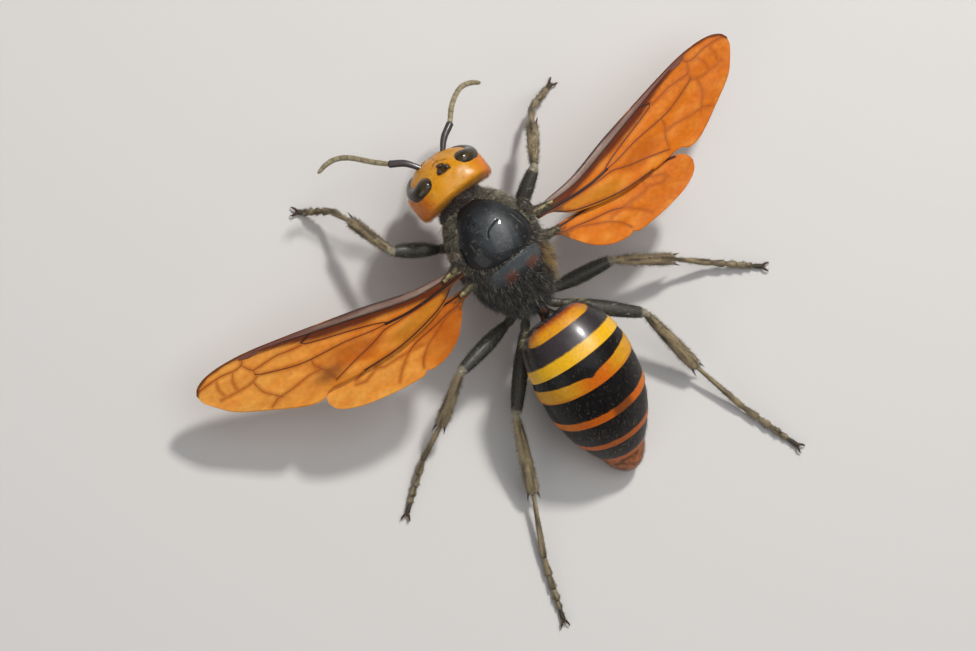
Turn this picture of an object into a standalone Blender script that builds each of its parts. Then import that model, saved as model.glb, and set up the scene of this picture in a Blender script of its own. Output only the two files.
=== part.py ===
"""An asian giant hornet, life size, standing with its wings spread.

The head points to -Y and the left side to +X.  Plan positions are in mm from the middle of the
thorax, and heights are in mm above the floor; at() moves them to the frame's origin, which lies
on the floor under the middle of the whole insect.
"""

import math

import bmesh
import bpy
from mathutils import Matrix, Vector
from mathutils.bvhtree import BVHTree

# Driving dimensions, in mm and degrees
MM = 0.001
THORAX_X, THORAX_Y = 0.2, -11.6
GAP = 0.1
BODY_LEAN = 0.03
BODY_START_X = 0.4
HEAD_CENTRE = (0.2, -9.4, 13.0)
HEAD_HALF_WIDTH, HEAD_FRONT, HEAD_REAR, HEAD_TOP, HEAD_BOTTOM = 5.25, 3.5, 3.45, 4.5, 4.4
NAPE_HOLLOW = 1.1
WING_THICKNESS = 0.5
WING_DROOP = 12.6
FOOT_FLAT = 0.17
FOOT_HEIGHT = 0.42
TEGULA_OUT, TEGULA_BACK, TEGULA_HEIGHT = 5.35, -1.3, 16.95
TEGULA_HALF_SIZES = (1.0, 1.35, 0.55)

# y, half width, top and bottom of the thorax, front to back
THORAX_SECTIONS = (
    (-6.9, 1.7, 15.0, 11.4),
    (-6.0, 3.1, 16.6, 10.2),
    (-5.0, 4.1, 17.7, 9.2),
    (-3.5, 5.0, 18.6, 8.3),
    (-1.5, 5.6, 19.1, 7.8),
    (0.5, 5.8, 19.1, 7.7),
    (2.4, 5.6, 18.7, 7.8),
    (4.0, 5.2, 18.0, 8.0),
    (5.2, 4.7, 17.0, 8.3),
    (6.8, 3.7, 15.3, 9.0),
    (8.2, 2.6, 14.1, 10.0),
    (9.0, 1.7, 13.5, 11.0),
)
SCUTUM_EDGE = 16.9
PRONOTUM_REAR, SCUTUM_REAR, SCUTELLUM_REAR = -3.4, 2.4, 4.6

# Each ring of the abdomen: length, pitch of its axis, yaw, then its rear rim's pitch and half sizes
GASTER_START = (0.6, 10.6, 12.9)
GASTER_FRONT_RADIUS = 2.3
PETIOLE = ((0.65, 9.12, 12.6), (0.6, 10.47, 12.87))
PETIOLE_RADIUS = 0.95
GASTER_RINGS = (
    (5.5, 12, 2, 12, 6.3, 5.2),
    (2.8, 24, 3, 24, 6.5, 5.5),
    (4.3, 30, 5, 31, 6.2, 5.2),
    (4.2, 34, 6, 36, 4.9, 4.1),
    (3.5, 38, 5, 38, 3.1, 2.7),
    (4.0, 42, 3, 42, 0.55, 0.5),
)
RING_STEP = 0.15
RING_BULGE = 0.12
# Where the first ring, a steep dome, and the last, a blunt cone, have their sections
RING_SHARES = {1: (0, 0.04, 0.14, 0.38, 0.7, 1), 6: (0, 0.35, 0.65, 0.88, 1)}
DOME_POWER, DOME_RISE = 0.36, 0.75

# Hip, trochanter, knee, ankle, end of the first tarsal joint, toe
LEG_JOINTS = {
    "fore_left": ((2.6, -3.6, 9.2), (4.6, -3.4, 8.7), (10.1, -7.1, 10.0),
                  (11.2, -13.2, 6.2), (11.8, -15.7, 3.4), (14.7, -18.3, FOOT_HEIGHT)),
    "fore_right": ((-1.9, -3.6, 9.2), (-4.1, -0.9, 8.5), (-9.7, -4.4, 10.6),
                   (-13.8, -9.0, 6.4), (-15.4, -10.6, 3.9), (-19.7, -11.6, FOOT_HEIGHT)),
    "mid_left": ((2.9, 4.2, 8.4), (3.2, 8.1, 7.3), (12.5, 9.3, 9.4),
                 (17.8, 12.9, 4.2), (21.8, 14.8, 1.6), (27.2, 18.7, FOOT_HEIGHT)),
    "mid_right": ((-1.8, 4.3, 8.4), (-1.9, 8.2, 7.3), (-10.5, 10.1, 8.8),
                  (-17.5, 14.8, 4.4), (-21.4, 18.0, 1.6), (-26.5, 22.4, FOOT_HEIGHT)),
    "hind_left": ((1.6, 6.8, 10.0), (2.4, 9.3, 9.3), (10.2, 17.5, 7.0),
                  (13.9, 26.4, 2.4), (17.6, 33.4, 1.0), (20.4, 40.8, FOOT_HEIGHT)),
    "hind_right": ((-0.4, 6.8, 10.0), (-1.3, 9.4, 9.3), (-10.0, 17.7, 7.0),
                   (-11.7, 26.9, 2.6), (-13.4, 34.4, 1.0), (-15.9, 42.4, FOOT_HEIGHT)),
}
# Half thickness of femur, tibia and tarsus
LEG_RADII = {"fore": (0.82, 0.65, 0.42), "mid": (0.92, 0.75, 0.42), "hind": (0.92, 0.82, 0.42)}
COXA_RADII = (1.2, 0.95, 0.6)
# Where the short tarsal joints end, as shares of the way from the first joint's end to the toe
SHORT_JOINT_ENDS = (0.3, 0.52, 0.7)
CLAW_SPREAD, CLAW_REACH = 28, 1.15
CLAW_RADII = (0.24, 0.24, 0.18)

# Forewing and hindwing outlines, mm outward and backward from the wing's root
FOREWING = (
    (-2.3, -0.6), (0.0, -0.8), (3.4, -0.5), (6.0, -0.6), (11.4, -1.2), (16.8, -1.6), (24.5, -2.0),
    (28.4, -1.8), (31.8, -1.0), (33.0, 0.1), (31.4, 2.1), (29.4, 4.0), (25.5, 5.4), (21.6, 6.7),
    (19.4, 6.9), (18.0, 6.1), (14.7, 5.6), (8.2, 4.1), (2.3, 2.2), (0.0, 1.1), (-2.3, 0.8),
)
HINDWING = (
    (-2.6, -0.3), (0.0, -0.4), (5.0, -0.3), (11.2, -0.2), (16.7, -0.1), (19.2, 0.3), (20.3, 1.7),
    (19.0, 3.5), (16.4, 4.6), (12.9, 5.2), (9.3, 5.6), (8.6, 5.0), (7.5, 5.6), (5.4, 5.4),
    (3.3, 4.3), (1.7, 2.6), (0.2, 0.8), (-2.6, 0.5),
)
# Root, sweep forward, twist that lifts the rear edge
WING_PLACES = {
    "forewing_left": ((7.6, -0.2, 15.7), 14.4, -5, FOREWING),
    "forewing_right": ((-7.1, 0.3, 15.7), 5.6, -6, FOREWING),
    "hindwing_left": ((7.3, 2.1, 14.7), 4.0, 4, HINDWING),
    "hindwing_right": ((-6.1, 3.0, 14.7), -5.5, 2, HINDWING),
}

# Compound eye: azimuth from straight ahead and height angle, seen from the middle of the head
EYE_TRACK = ((64, 55), (74, 45), (78, 30), (72, 10), (60, -8), (50, -23))
EYE_RADIUS, EYE_SINK = 0.95, 0.65
EYE_END_SWELL, EYE_END_REACH = 0.45, 0.55

# Base, middle and elbow of the first joint, then the flagellum to its tip
ANTENNAE = {
    "left": ((1.65, -12.5, 13.6), (2.6, -14.3, 13.5), (4.15, -15.2, 13.1), (5.6, -16.8, 12.4),
             (7.1, -18.7, 11.6), (8.4, -19.7, 11.0), (9.8, -20.0, 10.5), (11.2, -19.8, 10.1)),
    "right": ((-1.65, -12.5, 13.6), (-2.7, -13.8, 13.5), (-4.5, -14.6, 13.1), (-6.3, -16.3, 12.4),
              (-8.3, -17.3, 11.6), (-9.8, -17.2, 11.0), (-11.1, -16.4, 10.5)),
}
SCAPE_RADII = (0.34, 0.4, 0.42)
ANTENNA_RADIUS = 0.36
# Left mandible, from the middle of the head outward
MANDIBLE = ((2.1, -11.3, 10.2), (2.0, -12.2, 9.4), (1.6, -12.8, 8.9), (0.55, -13.2, 8.3))
MANDIBLE_RADII = (0.95, 1.0, 0.8, 0.4)


def at(x, y, z):
    return Vector((x + THORAX_X, y + THORAX_Y, z)) * MM


def material(name, colour, roughness):
    made = bpy.data.materials.new(name)
    made.use_nodes = True
    shader = made.node_tree.nodes["Principled BSDF"]
    shader.inputs["Base Color"].default_value = (*colour, 1)
    shader.inputs["Roughness"].default_value = roughness
    return made


def collection(name):
    made = bpy.data.collections.new(name)
    bpy.context.scene.collection.children.link(made)
    return made


def add_mesh(name, bm, look, group):
    """Turn a bmesh into a smooth-shaded object in the group."""
    bmesh.ops.recalc_face_normals(bm, faces=bm.faces)
    mesh = bpy.data.meshes.new(name)
    bm.to_mesh(mesh)
    bm.free()
    mesh.materials.append(look)
    mesh.shade_smooth()
    made = bpy.data.objects.new(name, mesh)
    group.objects.link(made)
    return made


def loft(rings):
    """Join closed rings of points into one body with flat ends."""
    bm = bmesh.new()
    rows = [[bm.verts.new(point) for point in ring] for ring in rings]
    for row, following in zip(rows, rows[1:]):
        for i in range(len(row)):
            j = (i + 1) % len(row)
            bm.faces.new((row[i], row[j], following[j], following[i]))
    bm.faces.new(rows[0])
    bm.faces.new(rows[-1])
    return bm


def ring(centre, half_width, half_height, pitch=0, yaw=0, sides=20):
    """An upright ellipse across the Y axis, pitched nose up and then turned."""
    turn = Matrix.Rotation(math.radians(-yaw), 4, "Z") @ Matrix.Rotation(math.radians(-pitch), 4, "X")
    points = []
    for i in range(sides):
        angle = math.tau * i / sides
        across = Vector((half_width * math.cos(angle), 0, half_height * math.sin(angle)))
        points.append(at(*(Vector(centre) + turn @ across)))
    return points


def tube(name, points, radii, look, group):
    """A tapering round bar through points in mm, made from a curve and closed."""
    data = bpy.data.curves.new(name, "CURVE")
    data.dimensions = "3D"
    data.bevel_depth = MM
    data.bevel_resolution = 2
    data.use_fill_caps = True
    spline = data.splines.new("POLY")
    spline.points.add(len(points) - 1)
    for knot, point, radius in zip(spline.points, points, radii):
        knot.co = (*at(*point), 1)
        knot.radius = radius
    curve = bpy.data.objects.new(name, data)
    group.objects.link(curve)
    return closed_mesh(name, curve, look, group)


def closed_mesh(name, curve, look, group):
    """Replace a curve by its mesh, with the loose caps welded on."""
    solid = curve.evaluated_get(bpy.context.evaluated_depsgraph_get())
    mesh = bpy.data.meshes.new_from_object(solid)
    bm = bmesh.new()
    bm.from_mesh(mesh)
    bmesh.ops.transform(bm, matrix=curve.matrix_world, verts=bm.verts)
    bmesh.ops.remove_doubles(bm, verts=bm.verts, dist=0.002 * MM)
    bpy.data.objects.remove(curve)
    bpy.data.meshes.remove(mesh)
    return add_mesh(name, bm, look, group)


def grown_cutter(source, gap=GAP):
    """A copy pushed out by the gap, to cut a neighbour with."""
    mesh = source.data.copy()
    for vertex in mesh.vertices:
        vertex.co += vertex.normal * gap * MM
    cutter = bpy.data.objects.new("cut_" + source.name, mesh)
    cutter.hide_render = True
    cutter.display_type = "WIRE"
    CUTTERS.objects.link(cutter)
    return cutter


def cut(target, cutter, operation="DIFFERENCE"):
    change = target.modifiers.new(cutter.name, "BOOLEAN")
    change.operation = operation
    change.object = cutter


def between(start, end, share):
    return tuple(a + (b - a) * share for a, b in zip(start, end))


def pulled_back(point, toward, distance):
    """Move a joint's point along its own segment."""
    step = Vector(toward) - Vector(point)
    return tuple(Vector(point) + step.normalized() * distance)


def clearance(before, joint, after, radius):
    """How far two flat-ended bars stop short of the joint where they bend."""
    bend = (Vector(joint) - Vector(before)).angle(Vector(after) - Vector(joint))
    return radius * math.tan(bend / 2) + GAP / 2


def signed_power(value, power):
    return math.copysign(abs(value) ** power, value)


def head_surface(bm):
    """Shape a unit ball into the head: broad cheeks, hollow nape, narrower mouth."""
    for vertex in bm.verts:
        side, back, up = vertex.co
        squareness = 0.75 - 0.25 * max(-1, min(1, 3 * back))
        x = HEAD_HALF_WIDTH * signed_power(side, squareness)
        y = (HEAD_REAR if back > 0 else HEAD_FRONT) * signed_power(back, squareness)
        z = (HEAD_TOP if up > 0 else HEAD_BOTTOM) * signed_power(up, 0.9)
        x *= 1 - 0.25 * max(0, -up) ** 1.5
        y -= 0.6 * max(0, -up)
        y -= NAPE_HOLLOW * max(0, back) * (1 - side * side)
        vertex.co = at(HEAD_CENTRE[0] + x, HEAD_CENTRE[1] + y, HEAD_CENTRE[2] + z)


def make_head():
    bm = bmesh.new()
    bmesh.ops.create_uvsphere(bm, u_segments=22, v_segments=13, radius=1)
    head_surface(bm)
    tree = BVHTree.FromBMesh(bm)
    head = add_mesh("head", bm, HEAD_LOOK, PARTS)
    for side, label in ((1, "left"), (-1, "right")):
        eye = make_eye("eye_" + label, side, tree)
        cut(head, grown_cutter(eye))
    return head


def make_eye(name, side, tree):
    """A bean that follows the head's surface, sunk part of its thickness."""
    centre = at(*HEAD_CENTRE)
    knots = []
    for azimuth, height in EYE_TRACK:
        turn, rise = math.radians(azimuth), math.radians(height)
        ahead = Vector((side * math.sin(turn), -math.cos(turn), 0)) * math.cos(rise)
        way = ahead + Vector((0, 0, math.sin(rise)))
        surface = tree.ray_cast(centre + way * 12 * MM, -way)[0]
        spot = (surface - way * EYE_SINK * MM) / MM
        knots.append((spot.x - THORAX_X, spot.y - THORAX_Y, spot.z))
    first = pulled_back(knots[0], knots[1], -EYE_END_REACH)
    last = pulled_back(knots[-1], knots[-2], -EYE_END_REACH)
    radii = [EYE_RADIUS * EYE_END_SWELL] + [EYE_RADIUS] * len(knots) + [EYE_RADIUS * EYE_END_SWELL]
    return tube(name, (first, *knots, last), radii, EYE_LOOK, PARTS)


def make_mouth_and_antennae(head):
    head_cutter = grown_cutter(head)
    for side, label in ((1, "left"), (-1, "right")):
        spots = [(HEAD_CENTRE[0] + side * x, y, z) for x, y, z in MANDIBLE]
        cut(tube("mandible_" + label, spots, MANDIBLE_RADII, SHELL_LOOK, PARTS), head_cutter)
        base, middle, elbow, *beyond = ANTENNAE[label]
        short = clearance(middle, elbow, beyond[0], ANTENNA_RADIUS)
        knots = (base, middle, pulled_back(elbow, middle, short))
        cut(tube("scape_" + label, knots, SCAPE_RADII, SHELL_LOOK, PARTS), head_cutter)
        path = smooth_path((pulled_back(elbow, beyond[0], short), *beyond), 3)
        tube("flagellum_" + label, path, antenna_radii(len(path)), FEELER_LOOK, PARTS)


def antenna_radii(count):
    return [ANTENNA_RADIUS * (1 if i < count - 2 else 0.8) for i in range(count)]


def smooth_path(knots, steps):
    """Points of a smooth curve through the knots, with steps in each stretch."""
    padded = [Vector(knots[0]) * 2 - Vector(knots[1]), *map(Vector, knots),
              Vector(knots[-1]) * 2 - Vector(knots[-2])]
    path = []
    for a, b, c, d in zip(padded, padded[1:], padded[2:], padded[3:]):
        for i in range(steps):
            t = i / steps
            path.append(tuple(0.5 * (2 * b + (c - a) * t + (2 * a - 5 * b + 4 * c - d) * t * t
                                     + (3 * b - a - 3 * c + d) * t ** 3)))
    path.append(tuple(padded[-2]))
    return path


def middle_x(y):
    return BODY_START_X + BODY_LEAN * y


def thorax_piece(name, whole, planes, look):
    """Part of the thorax, on the inner side of each plane, given as a point and a normal."""
    bm = whole.copy()
    for point, outward in planes:
        geometry = bm.verts[:] + bm.edges[:] + bm.faces[:]
        bmesh.ops.bisect_plane(
            bm, geom=geometry, plane_co=at(*point), plane_no=outward, clear_outer=True)
        rim = [edge for edge in bm.edges if edge.is_boundary]
        bmesh.ops.holes_fill(bm, edges=rim)
    return add_mesh(name, bm, look, PARTS)


def make_thorax():
    rings = [ring((middle_x(y), y, (top + bottom) / 2), half, (top - bottom) / 2)
             for y, half, top, bottom in THORAX_SECTIONS]
    whole = loft(rings)
    half_gap = GAP / 2
    below = ((0, 0, SCUTUM_EDGE - half_gap), Vector((0, 0, 1)))
    above = ((0, 0, SCUTUM_EDGE + half_gap), Vector((0, 0, -1)))

    def before(y):
        return (0, y - half_gap, 0), Vector((0, 1, 0))

    def behind(y):
        return (0, y + half_gap, 0), Vector((0, -1, 0))

    sides = (below, behind(PRONOTUM_REAR), before(SCUTELLUM_REAR))
    thorax_piece("pronotum", whole, (below, before(PRONOTUM_REAR)), HAIR_LOOK)
    thorax_piece("mesothorax", whole, sides, HAIR_LOOK)
    thorax_piece("propodeum", whole, (behind(SCUTELLUM_REAR),), HAIR_LOOK)
    thorax_piece("scutum", whole, (above, before(SCUTUM_REAR)), SHELL_LOOK)
    middle = (above, behind(SCUTUM_REAR), before(SCUTELLUM_REAR))
    thorax_piece("scutellum", whole, middle, SHELL_LOOK)
    solid = add_mesh("thorax_whole", whole, SHELL_LOOK, CUTTERS)
    solid.hide_render = True
    solid.display_type = "WIRE"
    return grown_cutter(solid)


def make_tegula(side, label, thorax_cutter):
    """The scale over the wing's root."""
    bm = bmesh.new()
    bmesh.ops.create_uvsphere(bm, u_segments=10, v_segments=7, radius=1)
    across, along, up = TEGULA_HALF_SIZES
    for vertex in bm.verts:
        x, y, z = vertex.co
        vertex.co = at(middle_x(TEGULA_BACK) + side * TEGULA_OUT + across * x,
                       TEGULA_BACK + along * y, TEGULA_HEIGHT + up * z)
    tegula = add_mesh("tegula_" + label, bm, SHELL_LOOK, PARTS)
    cut(tegula, thorax_cutter)


def make_gaster():
    spot = Vector(GASTER_START)
    pitch, yaw = 4, 2
    half_width, half_height = GASTER_FRONT_RADIUS, GASTER_FRONT_RADIUS
    for number, sizes in enumerate(GASTER_RINGS, 1):
        length, axis_pitch, axis_yaw, rim_pitch, rim_width, rim_height = sizes
        turn, fall = math.radians(axis_yaw), math.radians(axis_pitch)
        level = Vector((math.sin(turn), math.cos(turn), 0)) * math.cos(fall)
        way = level - Vector((0, 0, math.sin(fall)))
        step = RING_STEP if number > 1 else 0
        start = (half_width - step, half_height - step)
        rings = []
        for share in RING_SHARES.get(number, (0, 0.5, 1)):
            swell = rise = share
            if number == 1:
                swell, rise = share ** DOME_POWER, share ** DOME_RISE
            if number == len(GASTER_RINGS):
                swell = rise = 1 - math.sqrt(1 - share)
            bulge = RING_BULGE * math.sin(share * math.pi)
            along = GAP / 2 + (length - GAP) * share
            rings.append(ring(spot + way * along,
                              start[0] + (rim_width - start[0]) * swell + bulge,
                              start[1] + (rim_height - start[1]) * rise + bulge,
                              pitch + (rim_pitch - pitch) * share, yaw + (axis_yaw - yaw) * share, 22))
        add_mesh(f"gaster_{number}", loft(rings), GASTER_LOOK, PARTS)
        spot += way * length
        pitch, yaw, half_width, half_height = rim_pitch, axis_yaw, rim_width, rim_height
    tube("petiole", PETIOLE, (PETIOLE_RADIUS, PETIOLE_RADIUS), SHELL_LOOK, PARTS)


def limb(name, start, end, radius, taper, look):
    """A spindle-shaped leg segment; taper gives the ends as shares of its radius."""
    profile = ((0, taper[0]), (0.12, 0.5 + 0.5 * taper[0]), (0.4, 1), (0.75, 0.95), (0.93, 0.85),
               (1, taper[1]))
    points = [between(start, end, share) for share, _ in profile]
    return tube(name, points, [radius * size for _, size in profile], look, PARTS)


def make_leg(label, thorax_cutter):
    hip, trochanter, knee, ankle, heel, toe = LEG_JOINTS[label]
    femur_radius, tibia_radius, tarsus_radius = LEG_RADII[label.split("_")[0]]
    short = clearance(hip, trochanter, knee, COXA_RADII[-1])
    knots = (hip, between(hip, trochanter, 0.5), pulled_back(trochanter, hip, short))
    cut(tube("coxa_" + label, knots, COXA_RADII, SHELL_LOOK, PARTS), thorax_cutter)
    knee_short = clearance(trochanter, knee, ankle, 0.6 * femur_radius)
    thigh_start = pulled_back(trochanter, knee, short)
    thigh_end = pulled_back(knee, trochanter, knee_short)
    limb("femur_" + label, thigh_start, thigh_end, femur_radius, (0.6, 0.6), SHELL_LOOK)
    ankle_short = clearance(knee, ankle, heel, 0.6 * tibia_radius)
    shin_start = pulled_back(knee, ankle, knee_short)
    shin_end = pulled_back(ankle, knee, ankle_short)
    limb("tibia_" + label, shin_start, shin_end, tibia_radius, (0.55, 0.6), TIBIA_LOOK)
    make_tarsus(label, pulled_back(ankle, heel, ankle_short), heel, toe, tarsus_radius)


def make_tarsus(label, start, heel, toe, radius):
    """Five joints in a row, the first the longest, with two claws, flat under the last joint."""
    points = [start, between(start, heel, 0.85), heel]
    radii = [0.8 * radius, 1.1 * radius, 0.75 * radius]
    for end in SHORT_JOINT_ENDS:
        points += [between(heel, toe, end - 0.06), between(heel, toe, end)]
        radii += [1.1 * radius, 0.7 * radius]
    sole = Vector(between(heel, toe, 0.84))
    sole.z = FOOT_HEIGHT
    points += [tuple(sole), toe]
    radii += [radius, radius]
    tarsus = tube("tarsus_" + label, points, radii, TIBIA_LOOK, PARTS)
    for vertex in tarsus.data.vertices:
        if vertex.co.z < FOOT_FLAT * MM:
            vertex.co.z = 0
    for spread in (-CLAW_SPREAD, CLAW_SPREAD):
        cut(tarsus, make_claw(label, heel, toe, spread), "UNION")


def make_claw(label, heel, toe, spread):
    forward = Vector(toe) - Vector(heel)
    forward.z = 0
    way = Matrix.Rotation(math.radians(spread), 3, "Z") @ forward.normalized()
    root = Vector(toe) - forward.normalized() * 0.35
    arch = Vector((0, 0, FOOT_FLAT))
    points = (root, Vector(toe) + way * CLAW_REACH / 2 + arch, Vector(toe) + way * CLAW_REACH - arch)
    claw = tube(f"claw_{label}_{spread}", points, CLAW_RADII, SHELL_LOOK, CUTTERS)
    claw.hide_render = True
    claw.display_type = "WIRE"
    return claw


def make_wing(name, thorax_cutter):
    """A thin plate with a smooth outline, drooping outward from its root."""
    root, sweep, twist, outline = WING_PLACES[name]
    side = 1 if name.endswith("left") else -1
    data = bpy.data.curves.new(name, "CURVE")
    data.dimensions = "2D"
    data.fill_mode = "BOTH"
    data.extrude = WING_THICKNESS / 2 * MM
    data.resolution_u = 2
    spline = data.splines.new("BEZIER")
    spline.bezier_points.add(len(outline) - 1)
    for knot, (outward, backward) in zip(spline.bezier_points, outline):
        knot.co = Vector((side * outward, backward, 0)) * MM
        knot.handle_left_type = "AUTO"
        knot.handle_right_type = "AUTO"
    spline.use_cyclic_u = True
    curve = bpy.data.objects.new(name, data)
    curve.location = at(*root)
    turns = (twist, side * WING_DROOP, -side * sweep)
    curve.rotation_euler = [math.radians(turn) for turn in turns]
    PARTS.objects.link(curve)
    bpy.context.view_layer.update()
    wing = closed_mesh(name, curve, WING_LOOK, PARTS)
    cut(wing, thorax_cutter)


for old in list(bpy.data.objects):
    bpy.data.objects.remove(old)

PARTS = collection("asian giant hornet")
CUTTERS = collection("cutters")
HEAD_LOOK = material("orange_yellow_head_shell", (0.72, 0.36, 0.03), 0.45)
EYE_LOOK = material("dark_compound_eye", (0.03, 0.025, 0.015), 0.25)
SHELL_LOOK = material("black_shell", (0.02, 0.02, 0.025), 0.3)
HAIR_LOOK = material("grey_haired_shell", (0.1, 0.09, 0.06), 0.8)
FEELER_LOOK = material("olive_brown_feeler", (0.2, 0.17, 0.09), 0.6)
TIBIA_LOOK = material("dusty_tan_leg", (0.28, 0.21, 0.11), 0.65)
GASTER_LOOK = material("banded_abdomen", (0.6, 0.3, 0.03), 0.35)
WING_LOOK = material("amber_wing", (0.6, 0.25, 0.04), 0.3)

make_mouth_and_antennae(make_head())
thorax = make_thorax()
make_gaster()
for side_sign, side_name in ((1, "left"), (-1, "right")):
    make_tegula(side_sign, side_name, thorax)
for leg_name in LEG_JOINTS:
    make_leg(leg_name, thorax)
for wing_name in WING_PLACES:
    make_wing(wing_name, thorax)
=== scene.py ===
"""An asian giant hornet standing on a pale floor with its wings spread, seen from above its back."""

import math

import bpy
import numpy as np
from mathutils import Matrix, Vector, noise
from mathutils.bvhtree import BVHTree


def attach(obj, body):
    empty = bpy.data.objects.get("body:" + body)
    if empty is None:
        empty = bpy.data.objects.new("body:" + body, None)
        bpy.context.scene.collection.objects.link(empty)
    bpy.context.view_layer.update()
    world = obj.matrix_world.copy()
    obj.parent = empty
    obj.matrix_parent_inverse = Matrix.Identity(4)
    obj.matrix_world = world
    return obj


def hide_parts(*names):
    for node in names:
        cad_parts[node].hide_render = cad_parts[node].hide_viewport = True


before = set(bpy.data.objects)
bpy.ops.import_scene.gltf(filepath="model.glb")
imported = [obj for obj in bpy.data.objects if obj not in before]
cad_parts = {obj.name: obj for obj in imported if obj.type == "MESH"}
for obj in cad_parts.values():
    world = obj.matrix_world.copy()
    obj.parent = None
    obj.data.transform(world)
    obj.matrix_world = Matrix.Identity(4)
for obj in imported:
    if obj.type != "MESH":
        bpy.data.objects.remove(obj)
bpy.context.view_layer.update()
bpy.ops.object.select_all(action="DESELECT")


# Floor, lights and camera
# A plain pale floor under the feet, one small bright lamp to the insect's right and front, and wide soft
# fills. The camera looks down on the back, with the head toward the upper left of the picture.

MM = 0.001
CAMERA_TILT = math.radians(8.5)
CAMERA_DISTANCE = 320 * MM
CAMERA_TARGET = Vector((7.05, -4.61, 12.18)) * MM
HEAD_TURN = math.radians(38.5)
LENS_MM = 99.5
FLOOR_HALF = 0.9
FLOOR_COLOUR, FLOOR_ROUGHNESS = (0.66, 0.64, 0.62), 0.75
WARM_LIGHT, COOL_LIGHT, STUDIO_LIGHT = (1.0, 0.98, 0.95), (0.95, 0.98, 1.0), (0.95, 0.97, 1.0)
# Each lamp's way from the insect, then its distance and size in m, its power in W and its colour
LAMPS = {
    "key": (Vector((-0.54, -0.30, 0.80)).normalized(), 0.5, 0.05, 1.75, WARM_LIGHT),
    "overhead_fill": (Vector((-0.25, 0.1, 0.95)), 0.6, 0.5, 1.3, COOL_LIGHT),
    "left_fill": (Vector((0.8, 0.2, 0.5)).normalized(), 0.7, 0.4, 0.6, WARM_LIGHT),
}
STUDIO_STRENGTH = 0.17


def fill_inputs(tree, node, inputs):
    """Set a node's inputs, given by name, to a value or to what another node puts out."""
    for name, value in inputs.items():
        socket = node.inputs[name.replace("_", " ")]
        if isinstance(value, bpy.types.NodeSocket):
            tree.links.new(value, socket)
        else:
            socket.default_value = value


def shader_material(name, **inputs):
    """A material whose shader has those inputs, with its node tree and the shader."""
    made = bpy.data.materials.new(name)
    made.use_nodes = True
    shader = made.node_tree.nodes["Principled BSDF"]
    fill_inputs(made.node_tree, shader, inputs)
    return made, made.node_tree, shader


floor_look = shader_material("pale_floor", Base_Color=(*FLOOR_COLOUR, 1), Roughness=FLOOR_ROUGHNESS)[0]
bpy.ops.mesh.primitive_plane_add(size=2 * FLOOR_HALF, location=(0, 0, 0))
floor = bpy.context.object
floor.name = "floor"
floor.data.materials.append(floor_look)
bpy.ops.object.select_all(action="DESELECT")

for name, (way, distance, size, power, colour) in LAMPS.items():
    lamp = bpy.data.objects.new(name, bpy.data.lights.new(name, "AREA"))
    lamp.data.size = size
    lamp.data.energy = power
    lamp.data.color = colour
    lamp.location = CAMERA_TARGET + way * distance
    lamp.rotation_euler = way.to_track_quat("Z", "Y").to_euler()
    bpy.context.scene.collection.objects.link(lamp)
studio = bpy.data.worlds.new("studio")
studio.use_nodes = True
fill_inputs(studio.node_tree, studio.node_tree.nodes["Background"],
            {"Color": (*STUDIO_LIGHT, 1), "Strength": STUDIO_STRENGTH})
bpy.context.scene.world = studio
bpy.context.scene.view_settings.view_transform = "Standard"

outward = Vector((math.sin(CAMERA_TILT), 0, math.cos(CAMERA_TILT)))
leftward = Vector((-math.cos(CAMERA_TILT), 0, math.sin(CAMERA_TILT)))
rearward = Vector((0, 1, 0))
right = leftward * math.cos(HEAD_TURN) + rearward * math.sin(HEAD_TURN)
up = leftward * math.sin(HEAD_TURN) - rearward * math.cos(HEAD_TURN)
camera = bpy.data.objects.new("camera", bpy.data.cameras.new("camera"))
camera.data.lens = LENS_MM
camera.data.clip_start = 0.01
camera.matrix_world = Matrix.Translation(CAMERA_TARGET + outward * CAMERA_DISTANCE) @ Matrix(
    (right, up, outward)).transposed().to_4x4()
bpy.context.scene.collection.objects.link(camera)
bpy.context.scene.camera = camera


# Head
# One hard capsule of orange-yellow shell, broad behind the eyes and hollow at the nape.
# Below the feelers is a raised shield over the jaws, and the crown bears a dark triangle.

FRAME_SHIFT = Vector((0.2, -11.6, 0))
TO_FRAME = Matrix.Scale(MM, 4) @ Matrix.Translation(FRAME_SHIFT)
HEAD_MIDDLE = Vector((0.2, -9.4, 13.0))
HEAD_HALF_WIDTH, HEAD_FRONT, HEAD_REAR, HEAD_TOP, HEAD_BOTTOM = 5.25, 3.5, 3.45, 4.5, 4.4
HEAD_NAPE_HOLLOW = 1.1
HEAD_SKIN_DEPTH = 0.08
HEAD_VOXEL = 0.13
OCELLUS_PLACES = ((0.2, -11.2), (0.72, -10.6), (-0.32, -10.6))
SOCKET_PLACES = ((1.65, -12.5, 13.6), (-1.65, -12.5, 13.6))
HEAD_YELLOW, HEAD_ORANGE = (212, 146, 16), (212, 114, 4)
HEAD_BROWN, HEAD_DARK, HEAD_PALE, HEAD_STAIN_SHADE = (96, 34, 8), (12, 11, 11), (206, 168, 88), (150, 78, 12)
DUST_COLOUR, DUSTY_ROUGHNESS = (0.42, 0.37, 0.29, 1), 0.8
BROW_LINE = ((1.15, -11.5), (0.35, -11.95), (-0.95, -11.45))


def linear(colour):
    """The linear values that shaders take for a colour of 0 to 255 per channel; an array has them already."""
    if isinstance(colour, np.ndarray):
        return colour
    share = np.asarray(colour, float) / 255
    return np.where(share <= 0.04045, share / 12.92, ((share + 0.055) / 1.055) ** 2.4)


def ramp(value, low, high):
    """0 below low, 1 above high and smooth between; low may be the larger."""
    share = np.clip((np.asarray(value, float) - low) / (high - low), 0, 1)
    return share * share * (3 - 2 * share)


def ridge(off, width):
    """1 on a line and less and less beside it, from the distance off it."""
    return np.exp(-(off / width) ** 2)


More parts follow.
